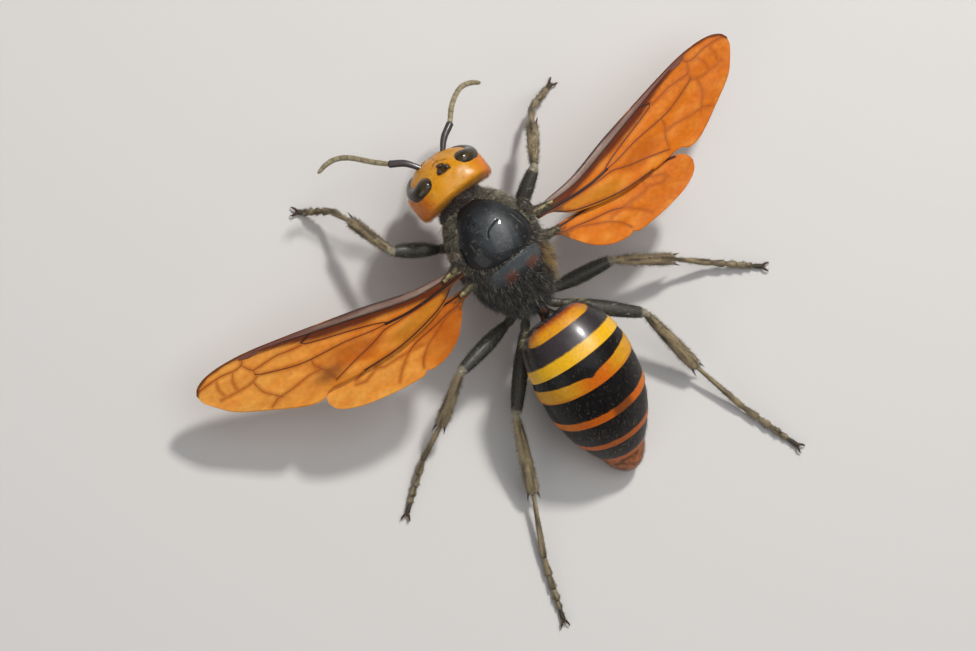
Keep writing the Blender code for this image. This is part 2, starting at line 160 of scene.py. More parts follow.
def blend(first, second, share):
    """Colours that go from the first to the second; the share may differ from point to point."""
    share = np.asarray(share, float)[..., None]
    return linear(first) * (1 - share) + linear(second) * share


def layered(colour, *layers):
    """A colour with others laid over it in turn, each given with its share."""
    for over, share in layers:
        colour = blend(colour, over, share)
    return colour


def mottle(points, size, seed=0):
    """Smooth noise about 0 over points in mm, with patches of that size."""
    shift = Vector((seed * 7.3, seed * 3.1, seed * 5.7))
    return np.array([noise.noise(Vector(point) / size + shift) for point in points])


def near_path(points, knots, axes=(0, 1)):
    """Distance of points from a line through knots, seen along the axis left out."""
    flat = np.asarray(points)[:, list(axes)]
    best = np.full(len(flat), 1e9)
    for start, end in zip(knots, knots[1:]):
        start, end = np.array(start, float), np.array(end, float)
        along = end - start
        share = np.clip(((flat - start) @ along) / (along @ along), 0, 1)
        best = np.minimum(best, np.linalg.norm(flat - start - share[:, None] * along, axis=1))
    return best


def vertex_places(mesh):
    places = np.empty(len(mesh.vertices) * 3)
    mesh.vertices.foreach_get("co", places)
    return places.reshape(-1, 3)


def vertex_normals(mesh):
    normals = np.empty(len(mesh.vertices) * 3)
    mesh.vertex_normals.foreach_get("vector", normals)
    return normals.reshape(-1, 3)


def move_vertices(mesh, places):
    mesh.vertices.foreach_set("co", np.asarray(places, float).ravel())
    mesh.update()


def swell(mesh, lift):
    """Move each point out along its normal by its own lift in mm."""
    move_vertices(mesh, vertex_places(mesh) + vertex_normals(mesh) * lift[:, None])


def skin_of(mesh):
    """A mesh's points, their normals and its faces, from which a coat grows."""
    return vertex_places(mesh), vertex_normals(mesh), [tuple(face.vertices) for face in mesh.polygons]


def paint(mesh, colours):
    """Store a linear colour at each vertex, which the materials read as tint."""
    layer = mesh.color_attributes.new("tint", "FLOAT_COLOR", "POINT")
    colours = np.broadcast_to(linear(colours), (len(mesh.vertices), 3))
    layer.data.foreach_set("color", np.insert(colours, 3, 1, axis=1).ravel())
    return mesh


def even_skin(mesh, voxel, smoothing):
    """The same form with faces of one small size all over, so that no pole or edge shows."""
    holder = bpy.data.objects.new("even_skin", mesh)
    bpy.context.scene.collection.objects.link(holder)
    remesh = holder.modifiers.new("even faces", "REMESH")
    remesh.mode = "VOXEL"
    remesh.voxel_size = voxel
    relax = holder.modifiers.new("relax", "SMOOTH")
    relax.iterations = smoothing
    solid = holder.evaluated_get(bpy.context.evaluated_depsgraph_get())
    even = bpy.data.meshes.new_from_object(solid)
    bpy.data.objects.remove(holder)
    return even


def finish_piece(name, mesh, look, nodes=()):
    """Turn a mesh in mm about the thorax into a piece in the frame."""
    mesh.name = name
    mesh.transform(TO_FRAME)
    mesh.materials.clear()
    mesh.materials.append(look)
    mesh.shade_smooth()
    piece = bpy.data.objects.new(name, mesh)
    bpy.context.scene.collection.objects.link(piece)
    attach(piece, "root")
    if nodes:
        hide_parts(*nodes)
    return piece


def grid_mesh(name, rows):
    """A closed skin over rows of points that each go once round, with both ends capped by a fan."""
    rows = np.asarray(rows, float)
    count, around = rows.shape[:2]
    points = [*rows.reshape(-1, 3), rows[0].mean(axis=0), rows[-1].mean(axis=0)]
    faces = []
    for i in range(count - 1):
        for j in range(around):
            k = (j + 1) % around
            faces.append((i * around + j, i * around + k, (i + 1) * around + k, (i + 1) * around + j))
    first, last = count * around, count * around + 1
    for j in range(around):
        k = (j + 1) % around
        faces.append((first, k, j))
        faces.append((last, (count - 1) * around + j, (count - 1) * around + k))
    mesh = bpy.data.meshes.new(name)
    mesh.from_pydata(points, [], faces)
    return outward_faces(mesh)


def outward_faces(mesh):
    """Turn a closed mesh right side out if its volume comes out negative."""
    places = vertex_places(mesh)
    mesh.calc_loop_triangles()
    corners = np.empty(len(mesh.loop_triangles) * 3, int)
    mesh.loop_triangles.foreach_get("vertices", corners)
    a, b, c = (places[corners.reshape(-1, 3)[:, i]] for i in range(3))
    if np.einsum("ij,ij->i", a, np.cross(b, c)).sum() < 0:
        mesh.flip_normals()
    return mesh


def head_capsule(columns=96, levels=64):
    """The head's form: a ball made square behind, with a hollow nape and a narrower mouth."""
    rows = []
    for level in range(1, levels):
        height = math.pi * (level / levels - 0.5)
        turn = np.linspace(0, math.tau, columns, endpoint=False)
        side, back = np.sin(turn) * math.cos(height), np.cos(turn) * math.cos(height)
        rise = np.full(columns, math.sin(height))
        square = 0.75 - 0.25 * np.clip(3 * back, -1, 1)
        x = HEAD_HALF_WIDTH * np.sign(side) * np.abs(side) ** square
        y = np.where(back > 0, HEAD_REAR, HEAD_FRONT) * np.sign(back) * np.abs(back) ** square
        z = np.where(rise > 0, HEAD_TOP, HEAD_BOTTOM) * np.sign(rise) * np.abs(rise) ** 0.9
        below = np.maximum(0, -rise)
        x *= 1 - 0.25 * below ** 1.5
        z += 0.15 * y * np.maximum(0, rise)
        y -= 0.6 * below + HEAD_NAPE_HOLLOW * np.maximum(0, back) * (1 - side * side)
        rows.append(np.stack((x, y, z), axis=1) + np.array(HEAD_MIDDLE))
    return grid_mesh("head_capsule", rows)


def face_shield(points):
    """1 on the raised shield of the face, 0 off it, from the width and height about the head's middle."""
    across = np.abs(points[:, 0] - HEAD_MIDDLE.x)
    height = points[:, 2] - HEAD_MIDDLE.z
    half = 2.25 - 0.35 * np.abs(height + 1.6) ** 1.4
    return ramp(across, half + 0.1, half - 0.1) * ramp(height, -3.55, -3.35) * ramp(height, 0.45, 0.25)


def shape_head(mesh):
    """Sculpt the face shield, the groove above it, the feelers' sockets and the crown."""
    places = vertex_places(mesh)
    across, height = np.abs(places[:, 0] - HEAD_MIDDLE.x), places[:, 2] - HEAD_MIDDLE.z
    ahead = ramp(places[:, 1], HEAD_MIDDLE.y - 1.5, HEAD_MIDDLE.y - 2.8)
    lift = np.full(len(places), -HEAD_SKIN_DEPTH)
    lift += 0.06 * ahead * face_shield(places)
    lift -= 0.1 * ahead * ridge(across, 0.12) * ramp(height, 0.4, 0.9) * ramp(height, 3.4, 2.6)
    for socket in SOCKET_PLACES:
        off = np.linalg.norm(places - np.array(socket), axis=1)
        lift += 0.12 * ridge(off - 0.95, 0.22) - 0.35 * ridge(off, 0.55)
    below = 9 * (height < 0)
    for x, y in OCELLUS_PLACES:
        off = np.hypot(places[:, 0] - x, places[:, 1] - y) + below
        lift -= 0.05 * ridge(off - 0.3, 0.1)
    lift -= 0.05 * ridge(near_path(places, BROW_LINE) + below, 0.12)
    swell(mesh, lift + 0.02 * mottle(places, 0.9))


def head_colours(points):
    """The head's markings at points in mm, with painted shade on the left cheek, the same for its shell and
    its hair.
    """
    side, back, height = (points - np.array(HEAD_MIDDLE)).T
    broad, fine = mottle(points, 1.5, 1), mottle(points, 0.35, 2)
    cheek = ramp(np.abs(side) + 0.5 * broad, 2.4, 4.4) * ramp(back, -2.6, -0.6)
    freckles = ramp(mottle(points, 0.16, 3), 0.42, 0.6)
    stains = ramp(mottle(points, 0.6, 5) + 0.4 * fine, 0.2, 0.55)
    nape = ramp(back + 0.25 * fine, 2.2, 2.7) * ramp(np.abs(side), 3.6, 2.4)
    crown = (height > 0).astype(float)
    triangle = near_path(points, (*OCELLUS_PLACES, OCELLUS_PLACES[0]))
    brow = near_path(points, BROW_LINE)
    sockets = [np.linalg.norm(points - np.array(socket), axis=1) for socket in SOCKET_PLACES]
    edge = face_shield(points)
    return layered(
        HEAD_YELLOW,
        (HEAD_ORANGE, 0.15),
        (HEAD_ORANGE, 0.9 * cheek),
        (HEAD_ORANGE, 0.55 * ramp(np.abs(side), 1.1, 0.2) * ramp(back, -3.4, -4.2)),
        (HEAD_PALE, ramp(broad, -0.1, 0.5) * 0.3 * (1 - cheek)),
        (HEAD_ORANGE, ramp(fine, 0.1, 0.6) * 0.25),
        (HEAD_BROWN, freckles * (0.15 + 0.4 * cheek)),
        # Brown stains all over, and more on the left cheek, which faces away from the lamp: there they are
        # partly painted shade
        (HEAD_STAIN_SHADE, stains * (0.12 + 0.3 * cheek * (side > 0))),
        (HEAD_BROWN, 0.9 * nape),
        (HEAD_DARK, 0.92 * crown * ramp(triangle + 0.2 * fine, 0.5, 0.3)),
        (HEAD_BROWN, 0.55 * crown * ramp(brow + 0.1 * fine, 0.16, 0.04)),
        *((HEAD_DARK, 0.85 * ramp(off, 0.85, 0.5)) for off in sockets),
        (HEAD_BROWN, 0.75 * ramp(back, -1.5, -2.8) * 4 * edge * (1 - edge)),
    )


def add_node(tree, kind, settings=None, **inputs):
    """A new shader node with its settings and inputs."""
    made = tree.nodes.new("ShaderNode" + kind)
    for name, value in (settings or {}).items():
        setattr(made, name, value)
    fill_inputs(tree, made, inputs)
    return made


def varied_tint(tree, tint, grain, low, high):
    """A tint made darker or lighter by a grain, from the low to the high factor."""
    shade = add_node(tree, "MapRange", To_Min=low, To_Max=high, Value=grain)
    multiply = {"data_type": "RGBA", "blend_type": "MULTIPLY"}
    return add_node(tree, "Mix", multiply, Factor=1, A=tint, B=shade.outputs["Result"]).outputs["Result"]


def dust_group():
    """Fine pale dust and grain, shared by all the shell materials."""
    group = bpy.data.node_groups.new("dust_and_grain", "ShaderNodeTree")
    face = group.interface
    face.new_socket("Tint", in_out="INPUT", socket_type="NodeSocketColor")
    for name, value in (("Dust", 0.2), ("Grain Size", 2500.0)):
        face.new_socket(name, in_out="INPUT", socket_type="NodeSocketFloat").default_value = value
    for name, kind in (("Colour", "Color"), ("Height", "Float"), ("Dust Mask", "Float")):
        face.new_socket(name, in_out="OUTPUT", socket_type="NodeSocket" + kind)
    given, out = group.nodes.new("NodeGroupInput"), group.nodes.new("NodeGroupOutput")
    place = add_node(group, "TexCoord").outputs["Object"]
    grain = add_node(group, "TexNoise", Detail=3, Vector=place, Scale=given.outputs["Grain Size"])
    grain = grain.outputs["Fac"]
    clouds = add_node(group, "TexNoise", Detail=5, Vector=place, Scale=1700)
    specks = add_node(group, "MapRange", From_Min=0.62, From_Max=0.72, Value=clouds.outputs["Fac"])
    mask = add_node(group, "Math", {"operation": "MULTIPLY"}, Value=specks.outputs["Result"])
    group.links.new(given.outputs["Dust"], mask.inputs[1])
    mask = mask.outputs["Value"]
    varied = varied_tint(group, given.outputs["Tint"], grain, 0.78, 1.2)
    dusty = add_node(group, "Mix", {"data_type": "RGBA"}, Factor=mask, A=varied, B=DUST_COLOUR)
    fill_inputs(group, out, {"Colour": dusty.outputs["Result"], "Height": grain, "Dust Mask": mask})
    return group


DUST = dust_group()


def shell_material(name, roughness, gloss, grain_size, depth, dust=0.2, **finish):
    """Hard shell: its stored tint, fine grain as bump, some dust, and a clear gloss over it."""
    made, tree, shader = shader_material(name, Coat_Weight=gloss, Coat_Roughness=0.12,
                                         Specular_IOR_Level=0.35)
    tint = add_node(tree, "Attribute", {"attribute_name": "tint"}).outputs["Color"]
    dusty = add_node(tree, "Group", {"node_tree": DUST}, Tint=tint, Dust=dust, Grain_Size=grain_size).outputs
    duller = add_node(tree, "MapRange", To_Min=roughness, To_Max=DUSTY_ROUGHNESS, Value=dusty["Dust Mask"])
    bump = add_node(tree, "Bump", Strength=0.6, Distance=depth * MM, Height=dusty["Height"])
    fill_inputs(tree, shader, {"Base Color": dusty["Colour"], "Roughness": duller.outputs["Result"],
                               "Normal": bump.outputs["Normal"], **finish})
    return made


head_look = shell_material("orange_yellow_head_shell", 0.42, 0.4, 3500, 0.04, 0.1,
                           Coat_Roughness=0.27, Specular_IOR_Level=0.2)
head = even_skin(head_capsule(), HEAD_VOXEL, 6)
head_tree = BVHTree.FromPolygons([v.co for v in head.vertices], [face.vertices for face in head.polygons])
shape_head(head)
paint(head, head_colours(vertex_places(head)))
head_skin = skin_of(head)
finish_piece("head_shell", head, head_look, ("head",))


# Simple eyes
# Three glassy beads of clear shell in the dark triangle of the crown.
# Each is sunk a little in a shallow ring of the head shell.

OCELLUS_RADIUS, OCELLUS_RISE = 0.25, 0.03
ocellus_look = shader_material("simple_eye_bead", Base_Color=(0.02, 0.014, 0.01, 1), Roughness=0.12,
                               Coat_Weight=1.0, Coat_Roughness=0.03)[0]
for number, (x, y) in enumerate(OCELLUS_PLACES, 1):
    seat = head_tree.ray_cast(Vector((x, y, 30)), Vector((0, 0, -1)))[0]
    bpy.ops.mesh.primitive_uv_sphere_add(segments=24, ring_count=16, radius=OCELLUS_RADIUS)
    bead = bpy.context.object.data
    bpy.data.objects.remove(bpy.context.object)
    bead.transform(Matrix.Translation(seat + Vector((0, 0, OCELLUS_RISE))))
    finish_piece(f"simple_eye_{number}", bead, ocellus_look)


# Compound eyes
# Each is one dark brown bean of tiny lenses under clear shell, bent round the socket of the feeler.
# It is grown into the head and stands a little out of it.

EYE_TRACK = ((67, 52), (76, 44), (80, 30), (74, 15), (64, 3), (54, -6), (47, -18))
EYE_RADII = (0.9, 1.12, 1.12, 0.98, 0.86, 0.78, 0.72, 0.68, 0.6)
EYE_SINK = 0.6
EYE_DARK, EYE_OLIVE = (36, 26, 18), (92, 78, 52)


def smooth_path(knots, steps):
    """Points of a smooth curve through the knots, with that many steps in each stretch."""
    knots = [np.asarray(knot, float) for knot in knots]
    padded = [2 * knots[0] - knots[1], *knots, 2 * knots[-1] - knots[-2]]
    path = []
    for a, b, c, d in zip(padded, padded[1:], padded[2:], padded[3:]):
        for i in range(steps):
            t = i / steps
            bend = 2 * a - 5 * b + 4 * c - d
            path.append(0.5 * (2 * b + (c - a) * t + bend * t * t + (3 * b - a - 3 * c + d) * t ** 3))
    path.append(padded[-2])
    return np.array(path)


def swept_rows(path, radii, sides=20, flatness=1.0, flat_way=(0, 0, 1)):
    """Rings round a path, each square to it; flatness squeezes them along the flat way."""
    path = np.asarray(path, float)
    ahead = np.gradient(path, axis=0)
    ahead /= np.linalg.norm(ahead, axis=1)[:, None]
    turn = np.linspace(0, math.tau, sides, endpoint=False)
    rows = []
    for centre, way, radius in zip(path, ahead, radii):
        across = np.cross(way, np.array(flat_way, float))
        across /= np.linalg.norm(across)
        rise = np.cross(across, way)
        rows.append(centre + radius * (np.cos(turn)[:, None] * across
                                       + flatness * np.sin(turn)[:, None] * rise))
    return rows


eye_look, eye_tree, eye_shader = shader_material(
    "dark_compound_eye", Roughness=0.22, Coat_Weight=0.5, Coat_Roughness=0.06, Specular_IOR_Level=0.25)
eye_tint = add_node(eye_tree, "Attribute", {"attribute_name": "tint"})
eye_place = add_node(eye_tree, "TexCoord").outputs["Object"]
lenses = add_node(eye_tree, "TexVoronoi", Scale=22000, Vector=eye_place).outputs["Distance"]
lens_bump = add_node(eye_tree, "Bump", {"invert": True}, Strength=0.25, Distance=0.01 * MM, Height=lenses)
fill_inputs(eye_tree, eye_shader, {"Base Color": eye_tint.outputs["Color"],
                                   "Normal": lens_bump.outputs["Normal"]})
eye_spots = []
for side, label in ((1, "left"), (-1, "right")):
    knots = []
    for azimuth, height in EYE_TRACK:
        turn, rise = math.radians(azimuth), math.radians(height)
        way = Vector((side * math.sin(turn) * math.cos(rise), -math.cos(turn) * math.cos(rise),
                      math.sin(rise)))
        knots.append(head_tree.ray_cast(HEAD_MIDDLE + way * 12, -way)[0] - way * EYE_SINK)
    first = knots[0] + (knots[0] - knots[1]).normalized() * 0.6
    last = knots[-1] + (knots[-1] - knots[-2]).normalized() * 0.8
    path = smooth_path((first, *knots, last), 8)
    eye_spots.extend(path[::3])
    share = np.linspace(-1, 1, len(path))
    radii = smooth_path([(radius,) for radius in EYE_RADII], 8)[:, 0]
    radii = radii * (1 - np.abs(share) ** 6) ** 0.5 + 0.001
    eye = even_skin(grid_mesh("eye", swept_rows(path, radii, 32)), 0.09, 4)
    places = vertex_places(eye)
    inner = ramp(np.abs(places[:, 0] - HEAD_MIDDLE.x), 4.7, 3.2)
    olive = np.clip(0.35 + 0.6 * mottle(places, 0.8, 4), 0, 1) * (0.4 + 0.6 * inner)
    paint(eye, blend(EYE_DARK, EYE_OLIVE, olive))
    finish_piece("compound_eye_" + label, eye, eye_look, ("eye_" + label,))


# Jaws and lip
# Two thick curved jaws of orange shell with black toothed tips meet under the face shield, and a small lip
# lies between them. Each jaw is hinged to the lower corner of the head.

JAW_PATH = ((1.95, -10.8, 10.5), (1.85, -11.6, 9.5), (1.5, -12.2, 8.85), (0.95, -12.6, 8.4),
            (0.45, -12.75, 8.2))
LIP_PATH = ((-1.05, -12.3, 8.75), (0.2, -12.65, 8.6), (1.45, -12.3, 8.75))
DOME_TURNS = (0.5, 0.95, 1.3, 1.5)
JAW_RADII = (0.8, 0.98, 0.86, 0.62, 0.32)


def swept_mesh(name, knots, radii, steps=6, sides=20, flatness=1.0, flat_way=(0, 0, 1)):
    """A smooth bar through knots with a radius at each, closed at both ends by a dome."""
    path = smooth_path(knots, steps)
    sizes = smooth_path([(radius,) for radius in radii], steps)[:, 0]
    ends = []
    for tip, beside, size in ((path[0], path[1], sizes[0]), (path[-1], path[-2], sizes[-1])):
        away = (tip - beside) / np.linalg.norm(tip - beside)
        ends.append([(tip + away * size * 0.6 * math.sin(t), size * math.cos(t)) for t in DOME_TURNS])
    path = np.array([p for p, _ in reversed(ends[0])] + list(path) + [p for p, _ in ends[1]])
    sizes = [r for _, r in reversed(ends[0])] + list(sizes) + [r for _, r in ends[1]]
    return grid_mesh(name, swept_rows(path, sizes, sides, flatness, flat_way))


def joined_mesh(name, meshes):
    """One mesh from several, with their tints kept."""
    points, faces, colours, start = [], [], [], 0
    for mesh in meshes:
        points.extend(v.co[:] for v in mesh.vertices)
        faces.extend([tuple(start + i for i in p.vertices) for p in mesh.polygons])
        layer = np.empty(len(mesh.vertices) * 4)
        mesh.color_attributes["tint"].data.foreach_get("color", layer)
        colours.append(layer.reshape(-1, 4)[:, :3])
        start += len(mesh.vertices)
    made = bpy.data.meshes.new(name)
    made.from_pydata(points, [], faces)
    paint(made, np.concatenate(colours))
    return made


jaw_look = shell_material("orange_jaw_shell", 0.3, 0.5, 3000, 0.02, 0.05)
for side, label in ((1, "left"), (-1, "right")):
    knots = [(HEAD_MIDDLE.x + side * x, y, z) for x, y, z in JAW_PATH]
    jaw = swept_mesh("jaw", knots, JAW_RADII, 8, 24, 0.72, (0, 1, 0))
    places = vertex_places(jaw)
    inward = np.abs(places[:, 0] - HEAD_MIDDLE.x)
    teeth = np.cos(places[:, 2] * 7.0) * ramp(inward, 1.4, 0.6) * 0.09
    places[:, 0] += side * teeth
    move_vertices(jaw, places)
    paint(jaw, blend(HEAD_ORANGE, HEAD_DARK, ramp(inward + 0.2 * mottle(places, 0.5), 1.5, 1.0)))
    finish_piece("jaw_" + label, jaw, jaw_look, ("mandible_" + label,))
lip = swept_mesh("lip", LIP_PATH, (0.3, 0.42, 0.3), 8, 16)
paint(lip, blend(HEAD_ORANGE, HEAD_BROWN, 0.5))
finish_piece("lip", lip, jaw_look)


# Feelers
# Each starts with a long dark first joint from a ball in its socket, then a short elbow joint and a whip of
# eleven olive brown joints with a velvet bloom.

FEELERS = {
    "left": ((1.65, -12.5, 13.6), (2.6, -14.3, 13.5), (4.15, -15.2, 13.1), (5.6, -16.8, 12.4),
             (7.1, -18.7, 11.6), (8.4, -19.7, 11.0), (9.8, -20.0, 10.5), (11.2, -19.8, 10.1)),
    "right": ((-1.65, -12.5, 13.6), (-2.7, -13.8, 13.5), (-4.5, -14.6, 13.1), (-6.3, -16.3, 12.4),
              (-8.3, -17.3, 11.6), (-9.8, -17.2, 11.0), (-11.1, -16.4, 10.5)),
}
SCAPE_BLACK, SCAPE_HIGHLIGHT_GREY = (30, 22, 22), (92, 84, 86)
WHIP_OLIVE, WHIP_PALE, WHIP_DARK = (134, 121, 90), (172, 160, 130), (72, 60, 42)
WHIP_RADIUS, WHIP_JOINTS, WHIP_SIDES = 0.34, 11, 20


def toward(start, end, share):
    return start + (end - start) * share


scape_look = shell_material("dark_feeler_shell", 0.3, 0.5, 2500, 0.02, 0.1)
whip_look = shell_material("olive_velvet_feeler", 0.62, 0.0, 5200, 0.03, 0.15, Sheen_Weight=0.3)
for label, knots in FEELERS.items():
    base, middle, elbow, *beyond = [np.array(knot) for knot in knots]
    inside = base + (base - middle) * 0.12
    scape = swept_mesh("scape", (inside, base, toward(middle, (base + elbow) / 2, 0.4), elbow),
                       (0.22, 0.3, 0.42, 0.46), 10, 20)
    # Painted highlight: grey on the upward-facing side of the dark first joint
    paint(scape, blend(SCAPE_BLACK, SCAPE_HIGHLIGHT_GREY, 0.6 * ramp(vertex_normals(scape)[:, 2], 0.45, 0.95)))
    finish_piece("feeler_first_joint_" + label, scape, scape_look, ("scape_" + label,))
    path = smooth_path((elbow, *beyond), 40)
    run = np.concatenate(((0,), np.cumsum(np.linalg.norm(np.diff(path, axis=0), axis=1))))
    share = run / run[-1]
    joint = (share * WHIP_JOINTS) % 1
    radii = WHIP_RADIUS * (1 - 0.13 * np.abs(2 * joint - 1) ** 6) * (0.86 + 0.14 * ramp(share, 0, 0.12))
    radii *= 1 - 0.28 * ramp(share, 0.82, 1)
    radii *= np.clip((1 - share) * 26, 0.05, 1) ** 0.5
    whip = grid_mesh("whip", swept_rows(path, radii, WHIP_SIDES))
    joints = np.concatenate((np.repeat(joint, WHIP_SIDES), (0, 0.5)))
    paint(whip, layered(
        WHIP_OLIVE,
        (WHIP_PALE, np.clip(0.3 + mottle(vertex_places(whip), 0.5, 6), 0, 1)),
        (WHIP_DARK, 0.75 * np.abs(2 * joints - 1) ** 8),
        # Painted shade: darker on the downward-facing side of the whip
        (WHIP_DARK, 0.6 * ramp(-vertex_normals(whip)[:, 2], 0.1, 0.8)),
    ))
    finish_piece("feeler_whip_" + label, whip, whip_look, ("flagellum_" + label,))


# Thorax skin
# A hard dark box full of wing muscle, clothed on the collar, sides and back in short olive-grey hair.
# The bare plates on top lie over it as separate pieces.

THORAX_SECTIONS = (
    (-6.9, 1.7, 15.0, 11.4),
    (-6.0, 3.1, 16.6, 10.2),
    (-5.0, 4.1, 17.7, 9.2),
    (-3.5, 5.0, 18.6, 8.3),
    (-1.5, 5.6, 19.1, 7.8),
    (0.5, 5.8, 19.1, 7.7),
    (2.4, 5.6, 18.7, 7.8),
    (4.0, 5.2, 18.0, 8.0),
    (5.2, 4.7, 17.0, 8.3),
    (6.8, 3.7, 15.3, 9.0),
    (8.2, 2.6, 14.1, 10.0),
    (9.0, 1.7, 13.5, 11.0),
)
COAT_DEPTH = 0.3
THORAX_BLACK, THORAX_OLIVE, THORAX_RED = (28, 23, 19), (92, 86, 64), (92, 38, 24)


def middle_x(y):
    return 0.4 + 0.03 * np.asarray(y)


def section_at(y):
    """Half width, top and bottom of the thorax at y, on smooth curves through its sections."""
    table = np.array(THORAX_SECTIONS)
    dense = smooth_path(table, 12)
    return [np.interp(y, dense[:, 0], dense[:, i]) for i in (1, 2, 3)]


def thorax_surface(y, turn, depth):
    half, top, bottom = section_at(y)
    x = middle_x(y) + (half - depth) * np.cos(turn)
    z = (top + bottom) / 2 + ((top - bottom) / 2 - depth) * np.sin(turn)
    return np.stack((x, np.full_like(x, y), z), axis=1)


def thorax_colours(points):
    """Dark shell, more olive on the collar and sides, red brown at the neck."""
    broad, fine = mottle(points, 1.2, 11), mottle(points, 0.35, 12)
    collar = ramp(points[:, 1] + 0.4 * broad, 1.5, -1.5) * ramp(points[:, 2], 18.3, 16.5)
    neck = ramp(points[:, 1] + 0.2 * fine, -6.1, -6.6)
    olive = collar * np.clip(0.45 + 0.8 * fine, 0, 1)
    return layered(THORAX_BLACK, (THORAX_OLIVE, olive), (THORAX_RED, 0.4 * neck))


turns = np.linspace(0, math.tau, 96, endpoint=False)
rows = [thorax_surface(y, turns, COAT_DEPTH) for y in np.linspace(-6.88, 8.95, 90)]
thorax = even_skin(grid_mesh("thorax", rows), 0.16, 4)
places = vertex_places(thorax)
x, y, z = places.T
above = ramp(z, 14.5, 16.5)
lift = 0.06 * mottle(places, 0.8, 13) + 0.05 * mottle(places, 0.3, 14)
lift -= 0.3 * ridge(y - 4.95, 0.25) * above
lift -= 0.22 * ridge(y - 6.0, 0.2) * above
lift -= 0.35 * ridge(x - middle_x(y), 0.35) * ramp(y, 5.6, 7.0)
lift -= 0.2 * ridge(np.abs(y + 3.4 + 0.35 * (z - 15)), 0.2) * (1 - above)
lift -= 0.2 * ridge(y - 3.4 - 0.3 * (z - 14), 0.2) * (1 - above)
swell(thorax, lift)
thorax_look = shell_material("dark_haired_shell", 0.5, 0.1, 2200, 0.05, 0.35, Sheen_Weight=0.15)
thorax_skin = skin_of(thorax)
paint(thorax, thorax_colours(thorax_skin[0]))
finish_piece("thorax_skin", thorax, thorax_look, ("pronotum", "mesothorax", "propodeum"))


# Plates of the back
# The large bare shield over the wing muscles is black shell with a curved crease; its blue-grey sheen and the
# pale glints on two side lines are painted into its colour.
# Behind it a narrower dark plate, its grey-blue sheen painted into its colour, carries two red-brown spots.
# Both lap over the skin at their edges.

SHIELD_MIDDLE = (0.45, -1.7)
SHIELD_OUTLINE = ((72, 4.3), (99, 4.2), (120, 4.6), (137, 5.0), (154, 4.95), (180, 3.95), (210, 3.45),
                  (244, 3.8), (273, 4.45), (305, 4.0), (329, 3.7), (360, 4.2), (386, 4.9), (409, 4.8),
                  (432, 4.3))
SHIELD_CREASE = ((1.4, -0.95), (1.1, -1.45), (0.62, -1.78), (-0.1, -1.92), (-0.7, -1.98))
SHIELD_LINES = (((3.45, -1.7), (3.5, -0.9), (3.45, 0.0)), ((-2.55, -1.7), (-2.75, -0.8), (-2.95, 0.1)))
SHIELD_BLACK, SHIELD_SHEEN_BLUE, SHIELD_SHEEN_GREY = (17, 18, 20), (61, 65, 68), (100, 103, 102)
CREASE_BLACK, LINE_HIGHLIGHT_GREY, PLATE_GREY = (8, 8, 8), (120, 118, 108), (118, 122, 106)
PLATE_SHARES = (*np.linspace(0.03, 0.94, 44), 0.97, 0.99, 1.0, 1.005, 1.0, 0.96)
RIM_DROPS = (0.0, 0.25, 0.5, 0.75, 1.0, 1.2)
PLATE_SPOTS = ((-1.3, 4.35), (1.85, 4.35))
PLATE_SHEEN_BLUE, PLATE_RED = (66, 71, 74), (102, 58, 44)


def plate_mesh(name, middle, outline, lift, edge_drop, relief):
    """A domed plate over the thorax, from its outline's radius at each angle in degrees."""
    angles = np.linspace(outline[0][0], outline[0][0] + 360, 144, endpoint=False)
    dense = smooth_path(outline, 12)
    reach = np.interp(angles, dense[:, 0], dense[:, 1])
    rows = []
    for share in PLATE_SHARES:
        x = middle[0] + reach * share * np.cos(np.radians(angles))
        y = middle[1] + reach * share * np.sin(np.radians(angles))
        rows.append(np.stack((x, y, 0 * x), axis=1))
    drops = [lift * (1 - (share / 0.97) ** 8) for share in PLATE_SHARES[:-len(RIM_DROPS)]]
    drops += [-fall * edge_drop for fall in RIM_DROPS]
    for row, drop in zip(rows, drops):
        for point in row:
            half, top, bottom = section_at(point[1])
            across = min(0.999, abs(point[0] - middle_x(point[1])) / half)
            point[2] = (top + bottom) / 2 + (top - bottom) / 2 * math.sqrt(1 - across * across) - 0.2 + drop
        row[:, 2] += relief(row) * (drop > -0.5 * edge_drop)
    return grid_mesh(name, rows)


def shield_relief(points):
    """Height of the crease, the two side lines and the faint middle ridge."""
    height = -0.10 * ridge(near_path(points, SHIELD_CREASE), 0.1)
    for line in SHIELD_LINES:
        height = height + 0.02 * ridge(near_path(points, line), 0.06)
    return height + 0.02 * mottle(points * (1, 0.4, 1), 0.8, 21)


def shield_colours(points):
    broad, fine = mottle(points * (1, 0.5, 1), 1.1, 22), mottle(points, 0.25, 23)
    off = np.hypot((points[:, 0] - 0.2) / 3.6, (points[:, 1] + 1.1) / 4.0)
    lines = [near_path(points, line) + 0.05 * fine for line in SHIELD_LINES]
    return layered(
        SHIELD_BLACK,
        # Painted sheen: blue-grey with grey patches over the middle, fading to black at the borders
        (SHIELD_SHEEN_BLUE, ramp(off + 0.3 * broad, 0.95, 0.2) * 0.85),
        (SHIELD_SHEEN_GREY, 0.25 * ramp(fine + broad, 0.1, 0.8) * ramp(off, 1.1, 0.6)),
        (CREASE_BLACK, 0.95 * ramp(near_path(points, SHIELD_CREASE), 0.16, 0.06)),
        # Painted highlights along the two side lines
        *((LINE_HIGHLIGHT_GREY, 0.5 * ramp(beside, 0.06, 0.02)) for beside in lines),
    )


shield_look = shell_material("black_shield_painted_blue_sheen", 0.44, 0.3, 1500, 0.06, 0.15, Coat_Roughness=0.06)
shield = plate_mesh("shield", SHIELD_MIDDLE, SHIELD_OUTLINE, 0.12, 0.5, shield_relief)
paint(shield, shield_colours(vertex_places(shield)))
finish_piece("back_shield", shield, shield_look, ("scutum",))

